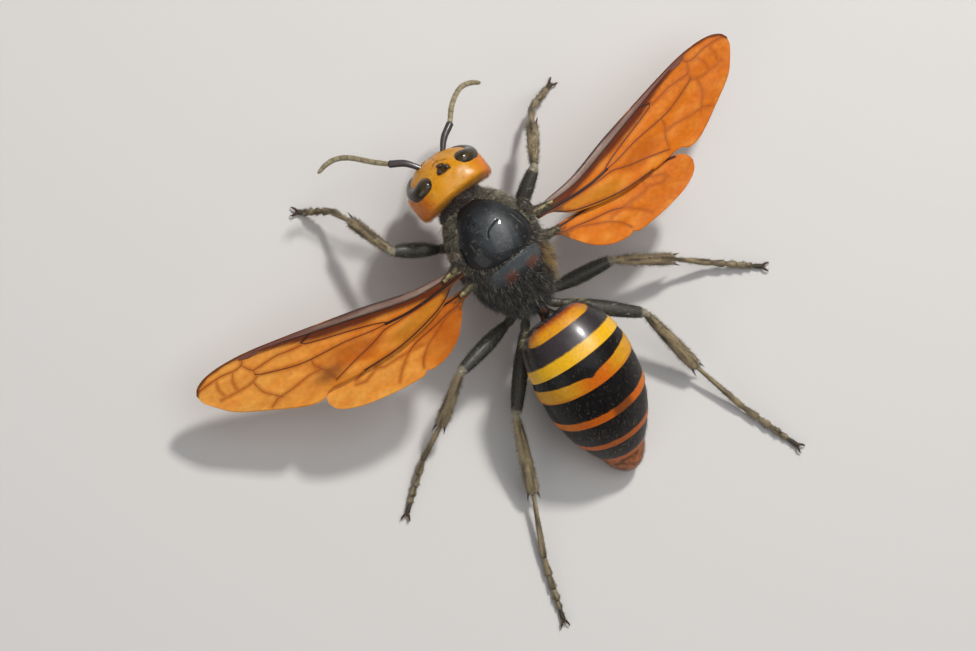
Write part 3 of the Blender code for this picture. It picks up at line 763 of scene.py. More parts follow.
PLATE_MIDDLE = (0.5, 3.75)
PLATE_OUTLINE = ((90, 1.5), (115, 1.7), (135, 2.1), (155, 2.9), (172, 3.5), (187, 3.7), (197, 3.55),
                 (212, 2.4), (235, 1.5), (270, 1.22), (305, 1.5), (328, 2.4), (343, 3.55), (353, 3.7),
                 (368, 3.5), (385, 2.9), (405, 2.1), (425, 1.7), (450, 1.5))


def plate_relief(points):
    """Two low cushions, one under each spot, with a dip between."""
    height = 0.015 * mottle(points, 0.5, 24)
    for x, y in PLATE_SPOTS:
        height = height + 0.16 * np.exp(-((points[:, 0] - x) / 0.9) ** 2 - ((points[:, 1] - y) / 0.7) ** 2)
    return height


def plate_colours(points):
    broad, fine = mottle(points, 0.9, 25), mottle(points, 0.25, 26)
    spots = [np.hypot((points[:, 0] - x) / 0.95, (points[:, 1] - y) / 0.72) for x, y in PLATE_SPOTS]
    return layered(
        # Painted sheen: the plate's base is grey-blue, with black toward its hairy rear
        PLATE_SHEEN_BLUE,
        (SHIELD_BLACK, ramp(points[:, 1] + 0.3 * broad, 3.7, 4.7) * 0.7),
        (PLATE_GREY, ramp(fine + 0.5 * broad, 0.15, 0.6) * 0.25),
        *((PLATE_RED, 0.75 * ramp(off + 0.5 * fine + 0.4 * broad, 1.15, 0.6)) for off in spots),
        (SHIELD_BLACK, ramp(points[:, 1], 2.75, 2.6) * 0.9),
    )


plate_look = shell_material("dark_plate_painted_grey_blue_sheen", 0.45, 0.15, 1800, 0.05, 0.1)
plate = plate_mesh("plate", PLATE_MIDDLE, PLATE_OUTLINE, 0.14, 0.45, plate_relief)
paint(plate, plate_colours(vertex_places(plate)))
plate_skin = skin_of(plate)
finish_piece("back_plate", plate, plate_look, ("scutellum",))


# Thorax coat
# Short stiff hairs in small tufts, olive grey on the collar and sides, longer and dark brown on the rear.
# They lean back, stand out round the edge of the body, and leave the bare plates free.

THORAX_TUFTS, PLATE_TUFTS = 32000, 1800
HAIR_OLIVE, HAIR_PALE, HAIR_BROWN, HAIR_GOLD = (136, 126, 98), (204, 196, 168), (42, 33, 24), (186, 146, 72)
HAIR_BLACK, NECK_BROWN = (22, 17, 13), (38, 24, 18)
LIE_SCATTER, RISE_SCATTER, ROOT_DEPTH, PATCH_RADIUS = 0.45, 0.22, 0.06, 0.0015


def skin_points(skin, count, rng, keep):
    """Random points over a skin and its normals there, thinned by keep, a share from 0 to 1 at each."""
    places, normals, faces = skin
    triangles = np.array([(f[0], f[i], f[i + 1]) for f in faces for i in range(1, len(f) - 1)])
    a, b, c = (places[triangles[:, i]] for i in range(3))
    areas = np.linalg.norm(np.cross(b - a, c - a), axis=1)
    corners = triangles[rng.choice(len(triangles), count, p=areas / areas.sum())]
    u, v = rng.random(count), rng.random(count)
    over = u + v > 1
    u[over], v[over] = 1 - u[over], 1 - v[over]
    weights = np.stack((1 - u - v, u, v), axis=1)[..., None]
    points = (places[corners] * weights).sum(axis=1)
    ways = (normals[corners] * weights).sum(axis=1)
    ways /= np.linalg.norm(ways, axis=1)[:, None]
    kept = rng.random(count) < keep(points, ways)
    return points[kept], ways[kept]


def unit(vectors):
    return vectors / np.maximum(np.linalg.norm(vectors, axis=-1), 1e-9)[..., None]


def coat_mesh(name, roots, normals, lie, rise, lengths, width, colours, unwrap, rng):
    """Tufts as thin three-sided spikes that rise from the skin along lie and bend over toward their tips."""
    count = len(roots)
    lie = np.asarray(lie) + rng.normal(0, LIE_SCATTER, (count, 3))
    lie = unit(lie - normals * (lie * normals).sum(axis=1)[:, None])
    rise = (rise + rng.normal(0, RISE_SCATTER, count))[:, None]
    first = lie * np.cos(rise) + normals * np.sin(rise)
    second = lie * np.cos(rise * 0.5) + normals * np.sin(rise * 0.5)
    across = unit(np.cross(first, normals))
    above = np.cross(first, across)
    lengths = lengths[:, None]
    middle = roots + first * lengths * 0.55
    tip = middle + second * lengths * 0.45
    foot = roots - normals * ROOT_DEPTH
    points, marks, shades = np.empty((count, 7, 3)), np.empty((count, 7, 2)), np.empty((count, 7, 3))
    for corner in range(3):
        turn = math.tau * corner / 3
        aside = across * math.cos(turn) + above * math.sin(turn)
        points[:, corner] = foot + aside * width
        points[:, 3 + corner] = middle + aside * width * 0.7
        marks[:, corner] = (math.cos(turn), math.sin(turn))
        marks[:, 3 + corner] = (0.5 * math.cos(turn), 0.5 * math.sin(turn))
    points[:, 6], marks[:, 6] = tip, 0
    for stretch, share in ((slice(0, 3), 0.6), (slice(3, 6), 1.0), (slice(6, 7), 1.2)):
        shades[:, stretch] = colours[:, None] * share
    faces = [(0, 1, 4, 3), (1, 2, 5, 4), (2, 0, 3, 5), (3, 4, 6), (4, 5, 6), (5, 3, 6), (2, 1, 0)]
    mesh = bpy.data.meshes.new(name)
    mesh.from_pydata(points.reshape(-1, 3).tolist(), [],
                     [tuple(7 * i + corner for corner in face) for i in range(count) for face in faces])
    paint(mesh, np.clip(shades.reshape(-1, 3), 0, 1))
    places = (unwrap(roots)[:, None] + PATCH_RADIUS * marks).reshape(-1, 2)
    corners = np.empty(len(mesh.loops), int)
    mesh.loops.foreach_get("vertex_index", corners)
    mesh.uv_layers.new(name="OFBake").data.foreach_set("uv", places[corners].ravel())
    return mesh


def hair_material(name, roughness, sheen):
    """Dull hair with its stored tint, a little lighter and darker along its length."""
    made, tree, shader = shader_material(name, Sheen_Weight=sheen)
    tint = add_node(tree, "Attribute", {"attribute_name": "tint"}).outputs["Color"]
    place = add_node(tree, "TexCoord").outputs["Object"]
    streaks = add_node(tree, "TexNoise", Scale=4000, Vector=place).outputs["Fac"]
    rough = add_node(tree, "MapRange", To_Min=roughness - 0.1, To_Max=roughness + 0.1, Value=streaks)
    fill_inputs(tree, shader, {"Base Color": varied_tint(tree, tint, streaks, 0.75, 1.25),
                               "Roughness": rough.outputs["Result"]})
    return made


def outline_share(points, middle, outline):
    """How far out points lie, where 1 is the outline of a plate seen from above."""
    dense = smooth_path(outline, 12)
    x, y = points[:, 0] - middle[0], points[:, 1] - middle[1]
    angle = (np.degrees(np.arctan2(y, x)) - outline[0][0]) % 360 + outline[0][0]
    return np.hypot(x, y) / np.interp(angle, dense[:, 0], dense[:, 1])


def thorax_hair_share(points, ways):
    """Bare under the plates and at the stalk, thick on the collar and sides, thinner below."""
    above = points[:, 2] > 14.5
    bare = above & (outline_share(points, SHIELD_MIDDLE, SHIELD_OUTLINE) < 0.96)
    bare |= above & (outline_share(points, PLATE_MIDDLE, PLATE_OUTLINE) < 0.9)
    share = np.where(points[:, 2] < 10.5, 0.35, 1.0)
    return np.where(bare | (points[:, 1] > 9.3), 0, share)


def thorax_unwrap(points):
    turn = np.arctan2(points[:, 2] - 13.2, points[:, 0] - 0.4) / math.tau
    return np.stack((0.5 + 0.95 * turn, 0.02 + 0.96 * np.clip((points[:, 1] + 7) / 16.2, 0, 1)), axis=1)


hair_look = hair_material("thorax_hair", 0.65, 0.3)
rng = np.random.default_rng(5)
roots, ways = skin_points(thorax_skin, THORAX_TUFTS, rng, thorax_hair_share)
x, y, z = roots.T
rear = ramp(y + 0.8 * mottle(roots, 1.0, 15), 2.5, 5.0)
collar = ramp(y + mottle(roots, 0.9, 16), 2.0, -1.0) * ramp(z, 19.2, 17.0)
golden = ramp(x, -1.8, -3.2) * ramp(y, 2.2, 4.2) * ramp(z, 9.0, 11.0)
neck = ramp(y, -5.6, -6.3)
draw = rng.random(len(roots)) + 0.7 * mottle(roots, 0.35, 19) + 0.5 * mottle(roots, 0.9, 20)
colours = layered(
    HAIR_BROWN,
    (HAIR_OLIVE, ramp(draw + 0.45 * collar, 0.6, 0.95)),
    (HAIR_PALE, ramp(draw, 0.85, 1.05) * (0.35 + 0.6 * collar)),
    (HAIR_BLACK, rear * ramp(draw, 1.1, 0.7)),
    (HAIR_GOLD, golden * 0.75 * ramp(draw, 0.1, 0.4)),
    (NECK_BROWN, 0.85 * neck),
)
lengths = (0.28 + 0.5 * rng.random(len(roots)) ** 2) * (1 + 0.9 * rear + 0.6 * golden)
bristle = rng.random(len(roots)) < 0.04
lengths = np.where(bristle, lengths + 0.7, lengths)
lie = np.stack((0 * rear, 1 - 2.2 * neck, -0.25 + 0 * rear), axis=1) + 0.35 * (ways * (1, 0, 0))
rise = 0.7 + 0.3 * rear + 0.3 * bristle
half = len(roots) // 2
for part, label in ((slice(0, half), "one"), (slice(half, None), "two")):
    coat = coat_mesh("thorax_coat", roots[part], ways[part], lie[part], rise[part], lengths[part],
                     0.022, colours[part], thorax_unwrap, rng)
    top = vertex_places(coat)
    top[:, 2] = np.minimum(top[:, 2], 19.0)
    move_vertices(coat, top)
    finish_piece("thorax_coat_" + label, coat, hair_look)
roots, ways = skin_points(plate_skin, PLATE_TUFTS, rng,
                          lambda points, ways: ramp(points[:, 1], 3.9, 5.0) * (ways[:, 2] > 0.2))
colours = blend(HAIR_BLACK, HAIR_PALE, 0.8 * ramp(rng.random(len(roots)), 0.7, 0.95))
coat = coat_mesh("plate_coat", roots, ways, (0, 1, -0.1), 0.6, 0.3 + 0.5 * rng.random(len(roots)),
                 0.02, colours, thorax_unwrap, rng)
finish_piece("plate_coat", coat, hair_look)


# Neck
# A soft dark tube of skin between the hollow nape and the collar, with short dark hair on it.
# It runs into both, so that no gap shows behind the head.

NECK_PATH = ((0.2, -8.2, 12.6), (0.28, -7.0, 12.8), (0.35, -5.8, 12.8))
NECK_TUFTS, NECK_DARK, NECK_HAIR = 2600, (34, 18, 13), (26, 17, 13)

neck = swept_mesh("neck", NECK_PATH, (2.3, 2.5, 3.2), 10, 40, 1.25)
places = vertex_places(neck)
swell(neck, 0.1 * mottle(places, 0.5, 17))
paint(neck, blend(NECK_DARK, THORAX_BLACK, np.clip(0.5 + mottle(places, 0.7, 18), 0, 1)))
neck_skin = skin_of(neck)
finish_piece("neck", neck, thorax_look)
rng = np.random.default_rng(8)
roots, ways = skin_points(neck_skin, NECK_TUFTS, rng, lambda points, ways: 1.0 * (points[:, 2] > 9))
colours = blend(NECK_HAIR, HAIR_BROWN, rng.random(len(roots)))
coat = coat_mesh("neck_coat", roots, ways, (0, -0.6, 0.3), 0.9, 0.45 + 0.4 * rng.random(len(roots)),
                 0.02, colours, thorax_unwrap, rng)
finish_piece("neck_coat", coat, hair_look)


# Head coat
# Very short fine golden hairs that grow all over the head and lie back, longer at the cheeks and along the
# edge of the nape, and none on the eyes.

HEAD_TUFTS, HEAD_HAIR = 9000, (180, 120, 30)


def head_hair_share(points, ways):
    """Thick on the cheeks and nape, thin on the crown, and none on the eyes."""
    back = points[:, 1] - HEAD_MIDDLE.y
    share = 0.3 + 0.7 * ramp(back, 0.3, 1.6) + 0.3 * ramp(points[:, 2], 12.5, 11)
    return np.where(eye_distance(points) < 1.0, 0, np.clip(share, 0, 1))


def eye_distance(points):
    return np.min([np.linalg.norm(points - spot, axis=1) for spot in eye_spots], axis=0)


def head_unwrap(points):
    way = unit(points - np.array(HEAD_MIDDLE))
    turn = np.arctan2(way[:, 0], -way[:, 1]) / math.tau
    return np.stack((0.5 + 0.95 * turn, 0.5 + 0.95 * np.arcsin(way[:, 2]) / math.pi), axis=1)


roots, ways = skin_points(head_skin, HEAD_TUFTS, rng, head_hair_share)
cheek = ramp(roots[:, 1], -8.6, -6.8)
colours = blend(head_colours(roots), HEAD_HAIR, 0.1 + 0.3 * rng.random(len(roots)))
lengths = (0.13 + 0.12 * rng.random(len(roots))) * (1 + 1.3 * cheek)
coat = coat_mesh("head_coat", roots, ways, (0, 1, -0.2), 0.4 + 0.35 * cheek, lengths, 0.011, colours,
                 head_unwrap, rng)
finish_piece("head_coat", coat, hair_look)


# Wing-root scales
# A small domed scale of dark brown shell on each side covers the hinge of the front wing.
# It is fixed to the thorax by its front edge and stands a little off it.

SCALE_MIDDLE, SCALE_HALF = (5.1, -1.3, 16.45), (0.85, 1.15, 0.36)
SCALE_DARK, SCALE_TAN = (38, 30, 24), (104, 82, 54)

scale_look = shell_material("brown_wing_scale", 0.55, 0.05, 2500, 0.08, 0.3)
root_skins = []
for side, label in ((1, "left"), (-1, "right")):
    bpy.ops.mesh.primitive_uv_sphere_add(segments=40, ring_count=24, radius=1)
    scale = bpy.context.object.data
    bpy.data.objects.remove(bpy.context.object)
    places = vertex_places(scale)
    out = places[:, 0] * side
    places *= SCALE_HALF
    places[:, 1] *= 1 - 0.2 * ramp(out, -0.2, 1)
    places[:, 2] -= 0.12 * ramp(np.abs(out), 0.5, 1) * np.sign(places[:, 2])
    places += (middle_x(SCALE_MIDDLE[1]) + side * SCALE_MIDDLE[0], SCALE_MIDDLE[1], SCALE_MIDDLE[2])
    move_vertices(scale, places)
    paint(scale, blend(SCALE_DARK, SCALE_TAN, np.clip(0.2 + 1.1 * mottle(places, 0.7, 31), 0, 1)))
    # A new sphere's faces come in another order on each run, so they are sorted for the draws of hair
    root_skins.append((places, vertex_normals(scale), sorted(skin_of(scale)[2])))
    finish_piece("wing_scale_" + label, scale, scale_look, ("tegula_" + label,))


# Wing hinges
# Three yellow-brown cords of skin and shell hold each wing's root to the body.
# They are half hidden in short hair, which is one coat for all four and the scales.

HINGES = {
    "fore_left": ((5.0, -0.8, 16.2), (6.3, -0.6, 15.95), (8.2, -0.35, 15.8)),
    "fore_right": ((-4.5, -0.5, 16.2), (-5.8, -0.1, 15.95), (-7.8, 0.2, 15.8)),
    "hind_left": ((5.1, 1.9, 15.2), (6.1, 2.1, 14.95), (7.6, 2.2, 14.8)),
    "hind_right": ((-4.2, 2.4, 15.2), (-5.0, 2.8, 14.95), (-6.6, 3.1, 14.8)),
}
# Shift, thickness and colour of each cord
HINGE_CORDS = (((0, -0.4, 0.0), 0.2, (78, 62, 44)), ((0, 0.05, 0.05), 0.24, (176, 162, 112)),
               ((0, 0.5, -0.05), 0.17, (132, 112, 74)))
CORD_DARK, ROOT_TUFTS = (40, 28, 20), 700


def joined_coats(name, meshes):
    """One coat from several, with their tints and their OFBake map kept."""
    marks = []
    for mesh in meshes:
        flat = np.empty(len(mesh.loops) * 2)
        mesh.uv_layers["OFBake"].data.foreach_get("uv", flat)
        marks.append(flat)
    made = joined_mesh(name, meshes)
    made.uv_layers.new(name="OFBake").data.foreach_set("uv", np.concatenate(marks))
    return made


for label, knots in HINGES.items():
    cords = []
    for shift, stout, colour in HINGE_CORDS:
        path = [np.array(knot) + np.array(shift) * (1 - 0.3 * i) for i, knot in enumerate(knots)]
        cord = swept_mesh("cord", path, (stout, stout * 1.25, stout * 0.6), 8, 16, 0.8)
        places = vertex_places(cord)
        swell(cord, 0.09 * mottle(places, 0.25, 33))
        dark = np.clip(0.3 + 1.2 * mottle(places, 0.4, 32), 0, 1)
        cords.append(paint(cord, blend(colour, CORD_DARK, dark)))
        root_skins.append(skin_of(cord))
    finish_piece("wing_hinge_" + label, joined_mesh("hinge", cords), scale_look)
coats = []
for skin in root_skins:
    roots, ways = skin_points(skin, ROOT_TUFTS, rng,
                              lambda points, ways: ramp(np.abs(points[:, 0]), 7.6, 5.6))
    draw = rng.random(len(roots))
    colours = layered(HAIR_BROWN, (HAIR_OLIVE, ramp(draw, 0.4, 0.8)), (HAIR_PALE, ramp(draw, 0.85, 1)))
    lengths = 0.2 + 0.4 * rng.random(len(roots)) ** 2
    coats.append(coat_mesh("root_coat", roots, ways, (0, 1, -0.1), 0.8, lengths, 0.018, colours,
                           thorax_unwrap, rng))
finish_piece("wing_root_coat", joined_coats("wing_root_coat", coats), hair_look)


# Waist and abdomen
# A thin dark stalk carries six rings of shell that slide into each other like a telescope.
# Each ring is black in front and yellow, orange or brown behind, and its rear rim laps over the next.

RING_START, START_PITCH, START_YAW = Vector((0.6, 10.6, 12.9)), 4, 2
RING_FRONT_RADIUS, RING_STEP, RING_BULGE, RING_INSET, SEAM = 2.3, 0.15, 0.12, 0.04, 0.05
DOME_POWER, DOME_RISE = 0.36, 0.75
# Length, pitch and yaw of each ring in mm and degrees, then its rim's pitch, half width and half height
RINGS = (
    (5.5, 12, 2, 12, 6.3, 5.2),
    (2.8, 24, 3, 24, 6.5, 5.5),
    (4.3, 30, 5, 31, 6.2, 5.2),
    (4.2, 34, 6, 36, 4.9, 4.1),
    (3.5, 38, 5, 38, 3.1, 2.7),
    (4.0, 42, 3, 42, 0.55, 0.5),
)
# How far each row of the rear rim lies back, and how far in
RIM_ROWS = ((0.04, 0.06), (0.02, 0.14), (-0.1, 0.24))
STALK_PATH = ((0.66, 8.7, 12.45), (0.65, 9.3, 12.6), (0.62, 10.0, 12.75), (0.6, 10.75, 12.9))
BAND_YELLOW, BAND_ORANGE, BAND_RED = (236, 178, 18), (222, 140, 16), (206, 98, 6)
BAND_BROWN, BAND_BLACK, BAND_PAINTED_SHEEN = (112, 58, 20), (10, 8, 8), (26, 22, 22)
BAND_RUST, BAND_OCHRE, RING_REFLECTION_GREY, TIP_TAN = (150, 60, 10), (214, 152, 28), (96, 84, 90), (196, 104, 32)


def ring_row(centre, half_width, half_height, pitch, yaw, around):
    """An ellipse across the abdomen's axis; around goes from the left side over the top."""
    turn = Matrix.Rotation(math.radians(-yaw), 3, "Z") @ Matrix.Rotation(math.radians(-pitch), 3, "X")
    flat = np.stack((half_width * np.cos(around), 0 * around, half_height * np.sin(around)), axis=1)
    return flat @ np.array(turn).T + np.array(centre)


def band_colours(number, share, around, points):
    """Markings of one ring from how far back (0 to 1) and how far round a point lies."""
    broad, fine = mottle(points, 0.9, 40 + number), mottle(points, 0.22, 50 + number)
    top, side = np.sin(around), np.abs(np.cos(around))
    edge = share + (0.016 * broad + 0.014 * fine) * (0.4 if number == 1 else 1)
    # Painted sheen: the black is lighter toward the top of each ring
    black = blend(BAND_BLACK, BAND_PAINTED_SHEEN, np.clip(0.35 + 0.5 * broad, 0, 1) * ramp(top, 0.2, 0.9))
    belly = ramp(top, -0.25, -0.5)
    if number == 1:
        front = ramp((side / 0.88) ** 6 + (np.abs(edge - 0.19) / 0.145) ** 4 + 0.2 * fine, 1.15, 0.85)
        warm = layered(
            BAND_ORANGE,
            (BAND_RUST, ramp(edge, 0.17, 0.06)),
            (BAND_RUST, ramp(side, 0.6, 0.86) * 0.8),
            (BAND_YELLOW, ramp(edge, 0.14, 0.25) * 0.35),
        )
        return layered(
            black,
            # Painted reflection: grey-violet over the top of the first ring
            (RING_REFLECTION_GREY, 0.3 * ramp(top, 0.3, 0.95)),
            (warm, front * ramp(top, 0.1, 0.3)),
            (BAND_YELLOW, ramp(edge, 0.725, 0.745) * (1 - 0.75 * belly)),
        )
    if number == 2:
        notch = 0.1 * np.exp(-(np.cos(around) - 0.09) ** 2 / 0.008)
        band = ramp(edge - notch + 0.2 * side ** 1.5, 0.54, 0.575) * (1 - 0.6 * belly)
        warm = layered(BAND_OCHRE, (BAND_RED, 0.95 * ramp(side, 0.62, 0.1)),
                       (BAND_RED, ramp(edge, 0.86, 0.98) * 0.5))
    elif number == 3:
        band = ramp(edge + 0.03 * side, 0.765, 0.79) * (1 - 0.5 * belly)
        middle = ramp(np.abs(np.cos(around) + 0.18), 0.3, 0.15)
        warm = layered(BAND_RED, (BAND_BROWN, middle * 0.85), (BAND_ORANGE, ramp(side, 0.55, 0.9) * 0.3))
    elif number == 4:
        band = ramp(edge, 0.79, 0.82)
        warm = blend(BAND_BROWN, BAND_RED, 0.55 + 0.4 * side)
    elif number == 5:
        band = ramp(edge, 0.74, 0.79)
        warm = blend(BAND_BROWN, BAND_RED, 0.85)
    else:
        tip = blend(TIP_TAN, BAND_BROWN, np.clip(0.25 + 1.3 * broad, 0, 1))
        return blend(tip, black, 0.7 * ramp(fine + broad, 0.45, 0.7) + 0.5 * ramp(share, 0.92, 1.0))
    return blend(black, warm, band)


band_look = shell_material("banded_abdomen_shell", 0.42, 0.12, 2600, 0.04, 0.1, Specular_IOR_Level=0.18)
glossy_band_look = shell_material("glossy_first_ring_shell", 0.34, 0.3, 3000, 0.012, 0.06,
                                  Coat_Roughness=0.15)
around = np.linspace(0, math.tau, 128, endpoint=False)
spot, pitch, yaw = Vector(RING_START), START_PITCH, START_YAW
half_width, half_height = RING_FRONT_RADIUS, RING_FRONT_RADIUS
ring_shares = [*np.linspace(0, 0.2, 16, endpoint=False) ** 1.5 * 0.2 ** -0.5, *np.linspace(0.2, 1, 40)]
ring_skins = {}
for number, (length, axis_pitch, axis_yaw, rim_pitch, rim_width, rim_height) in enumerate(RINGS, 1):
    turn, fall = math.radians(axis_yaw), math.radians(axis_pitch)
    way = Vector((math.sin(turn) * math.cos(fall), math.cos(turn) * math.cos(fall), -math.sin(fall)))
    step = RING_STEP if number > 1 else 0
    start = (half_width - step, half_height - step)
    rows, row_shares = [], []
    if number > 1:
        for tuck in (0.8, 0.4):
            inset = 0.15 + 0.35 * tuck
            rows.append(ring_row(spot - way * tuck, start[0] - inset, start[1] - inset, pitch, yaw, around))
            row_shares.append(0)
    for share in ring_shares:
        spread = rise = share
        if number == 1:
            spread = share ** DOME_POWER
            rise = share ** DOME_RISE
        if number == len(RINGS):
            spread = rise = 1 - math.sqrt(1 - share)
        bulge = RING_BULGE * math.sin(share * math.pi) - RING_INSET
        along = SEAM + (length - 2 * SEAM) * share
        rows.append(ring_row(spot + way * along, start[0] + (rim_width - start[0]) * spread + bulge,
                             start[1] + (rim_height - start[1]) * rise + bulge,
                             pitch + (rim_pitch - pitch) * share, yaw + (axis_yaw - yaw) * share, around))
        row_shares.append(share)
    for tuck, shrink in RIM_ROWS:
        rows.append(ring_row(spot + way * (length - SEAM + tuck), max(0.1, rim_width - shrink),
                             max(0.1, rim_height - shrink), rim_pitch, axis_yaw, around))
        row_shares.append(1)
    ring = grid_mesh("ring", rows)
    places = vertex_places(ring)
    share_of = np.concatenate((np.repeat(row_shares, len(around)), (0, 1)))
    around_of = np.concatenate((np.tile(around, len(rows)), (0, 0)))
    fold = -0.14 * ridge(np.sin(around_of) + 0.42, 0.05) * (share_of > 0.02)
    swell(ring, fold + 0.015 * mottle(places, 0.7, 60 + number) * (number > 1))
    paint(ring, band_colours(number, share_of, around_of, places))
    ring_skins[number] = (skin_of(ring), np.array(way))
    look = glossy_band_look if number == 1 else band_look
    finish_piece(f"abdomen_ring_{number}", ring, look, (f"gaster_{number}",))
    spot += way * length
    pitch, yaw, half_width, half_height = rim_pitch, axis_yaw, rim_width, rim_height

stalk = swept_mesh("stalk", STALK_PATH, (1.0, 0.72, 0.8, 1.15), 8, 28)
paint(stalk, blend(BAND_BLACK, BAND_BROWN, np.clip(0.6 * mottle(vertex_places(stalk), 0.6), 0, 1)))
finish_piece("waist_stalk", stalk, scale_look, ("petiole",))


# Legs
# Each has a thick hip joint, a small ring joint, a black thigh, a tan shin with spurs at its end, and a foot
# of five joints that ends in two hooked claws with a soft pad between. All are hollow shell.

FOOT_HEIGHT = 0.42
# Hip, ring joint, knee, ankle, heel and toe of each leg in mm
LEG_JOINTS = {
    "fore_left": ((2.6, -3.6, 9.2), (4.6, -3.4, 8.7), (10.1, -7.1, 10.0),
                  (11.2, -13.2, 6.2), (11.8, -15.7, 3.4), (14.7, -18.3, FOOT_HEIGHT)),
    "fore_right": ((-1.9, -3.6, 9.2), (-4.1, -0.9, 8.5), (-9.7, -4.4, 10.6),
                   (-13.8, -9.0, 6.4), (-15.4, -10.6, 3.9), (-19.7, -11.6, FOOT_HEIGHT)),
    "mid_left": ((2.9, 4.2, 8.4), (3.2, 8.1, 7.3), (12.5, 9.3, 9.4),
                 (17.8, 12.9, 4.2), (21.8, 14.8, 1.6), (27.2, 18.7, FOOT_HEIGHT)),
    "mid_right": ((-1.8, 4.3, 8.4), (-1.9, 8.2, 7.3), (-10.5, 10.1, 8.8),
                  (-17.5, 14.8, 4.4), (-21.4, 18.0, 1.6), (-26.5, 22.4, FOOT_HEIGHT)),
    "hind_left": ((1.6, 6.8, 10.0), (2.4, 9.3, 9.3), (10.2, 17.5, 7.0),
                  (13.9, 26.4, 2.4), (17.6, 33.4, 1.0), (20.4, 40.8, FOOT_HEIGHT)),
    "hind_right": ((-0.4, 6.8, 10.0), (-1.3, 9.4, 9.3), (-10.0, 17.7, 7.0),
                   (-11.7, 26.9, 2.6), (-13.4, 34.4, 1.0), (-15.9, 42.4, FOOT_HEIGHT)),
}
# Radii of the thigh, the shin and the foot
LEG_RADII = {"fore": (0.88, 0.7, 0.46), "mid": (0.92, 0.75, 0.45), "hind": (0.92, 0.82, 0.44)}
THIGH_BLACK, THIGH_HIGHLIGHT_GREY = (27, 25, 23), (84, 82, 72)
SHIN_TAN, SHIN_DARK, JOINT_PALE, CLAW_BROWN = (156, 138, 104), (50, 41, 30), (188, 178, 150), (60, 28, 12)
# Along each bar, the share of its length and of its radius
THIGH_PROFILE = ((0.1, 0.5), (0.2, 0.72), (0.42, 1.0), (0.65, 1.0), (0.85, 0.86), (0.95, 0.72), (0.985, 0.55))
SHIN_PROFILE = ((0.03, 0.55), (0.15, 0.72), (0.45, 0.92), (0.75, 1.0), (0.92, 0.98), (0.975, 0.8))
FOOT_ENDS = (0, 0.3, 0.52, 0.7)
SOLE_END = 0.84
leg_skins = {}


def shin_colours(mesh, seed, way):
    """Tan above and behind with dark streaks along the joint, and darker on the sides and below, which is
    painted shade.
    """
    places, normals = vertex_places(mesh), vertex_normals(mesh)
    tone = mottle(places - 0.85 * (places @ way)[:, None] * way, 0.4, seed)
    return layered(SHIN_TAN, (SHIN_DARK, np.clip(0.3 + 1.5 * tone, 0, 0.9)),
                   (SHIN_DARK, 0.8 * ramp(-normals[:, 2], -0.1, 0.6)))


def limb_bar(start, end, profile, radius, flatness):
    """A bar from one joint to the next, with a profile of shares of its length and radius."""
    return swept_mesh("limb", [toward(start, end, share) for share, _ in profile],
                      [radius * size for _, size in profile], 8, 24, flatness)


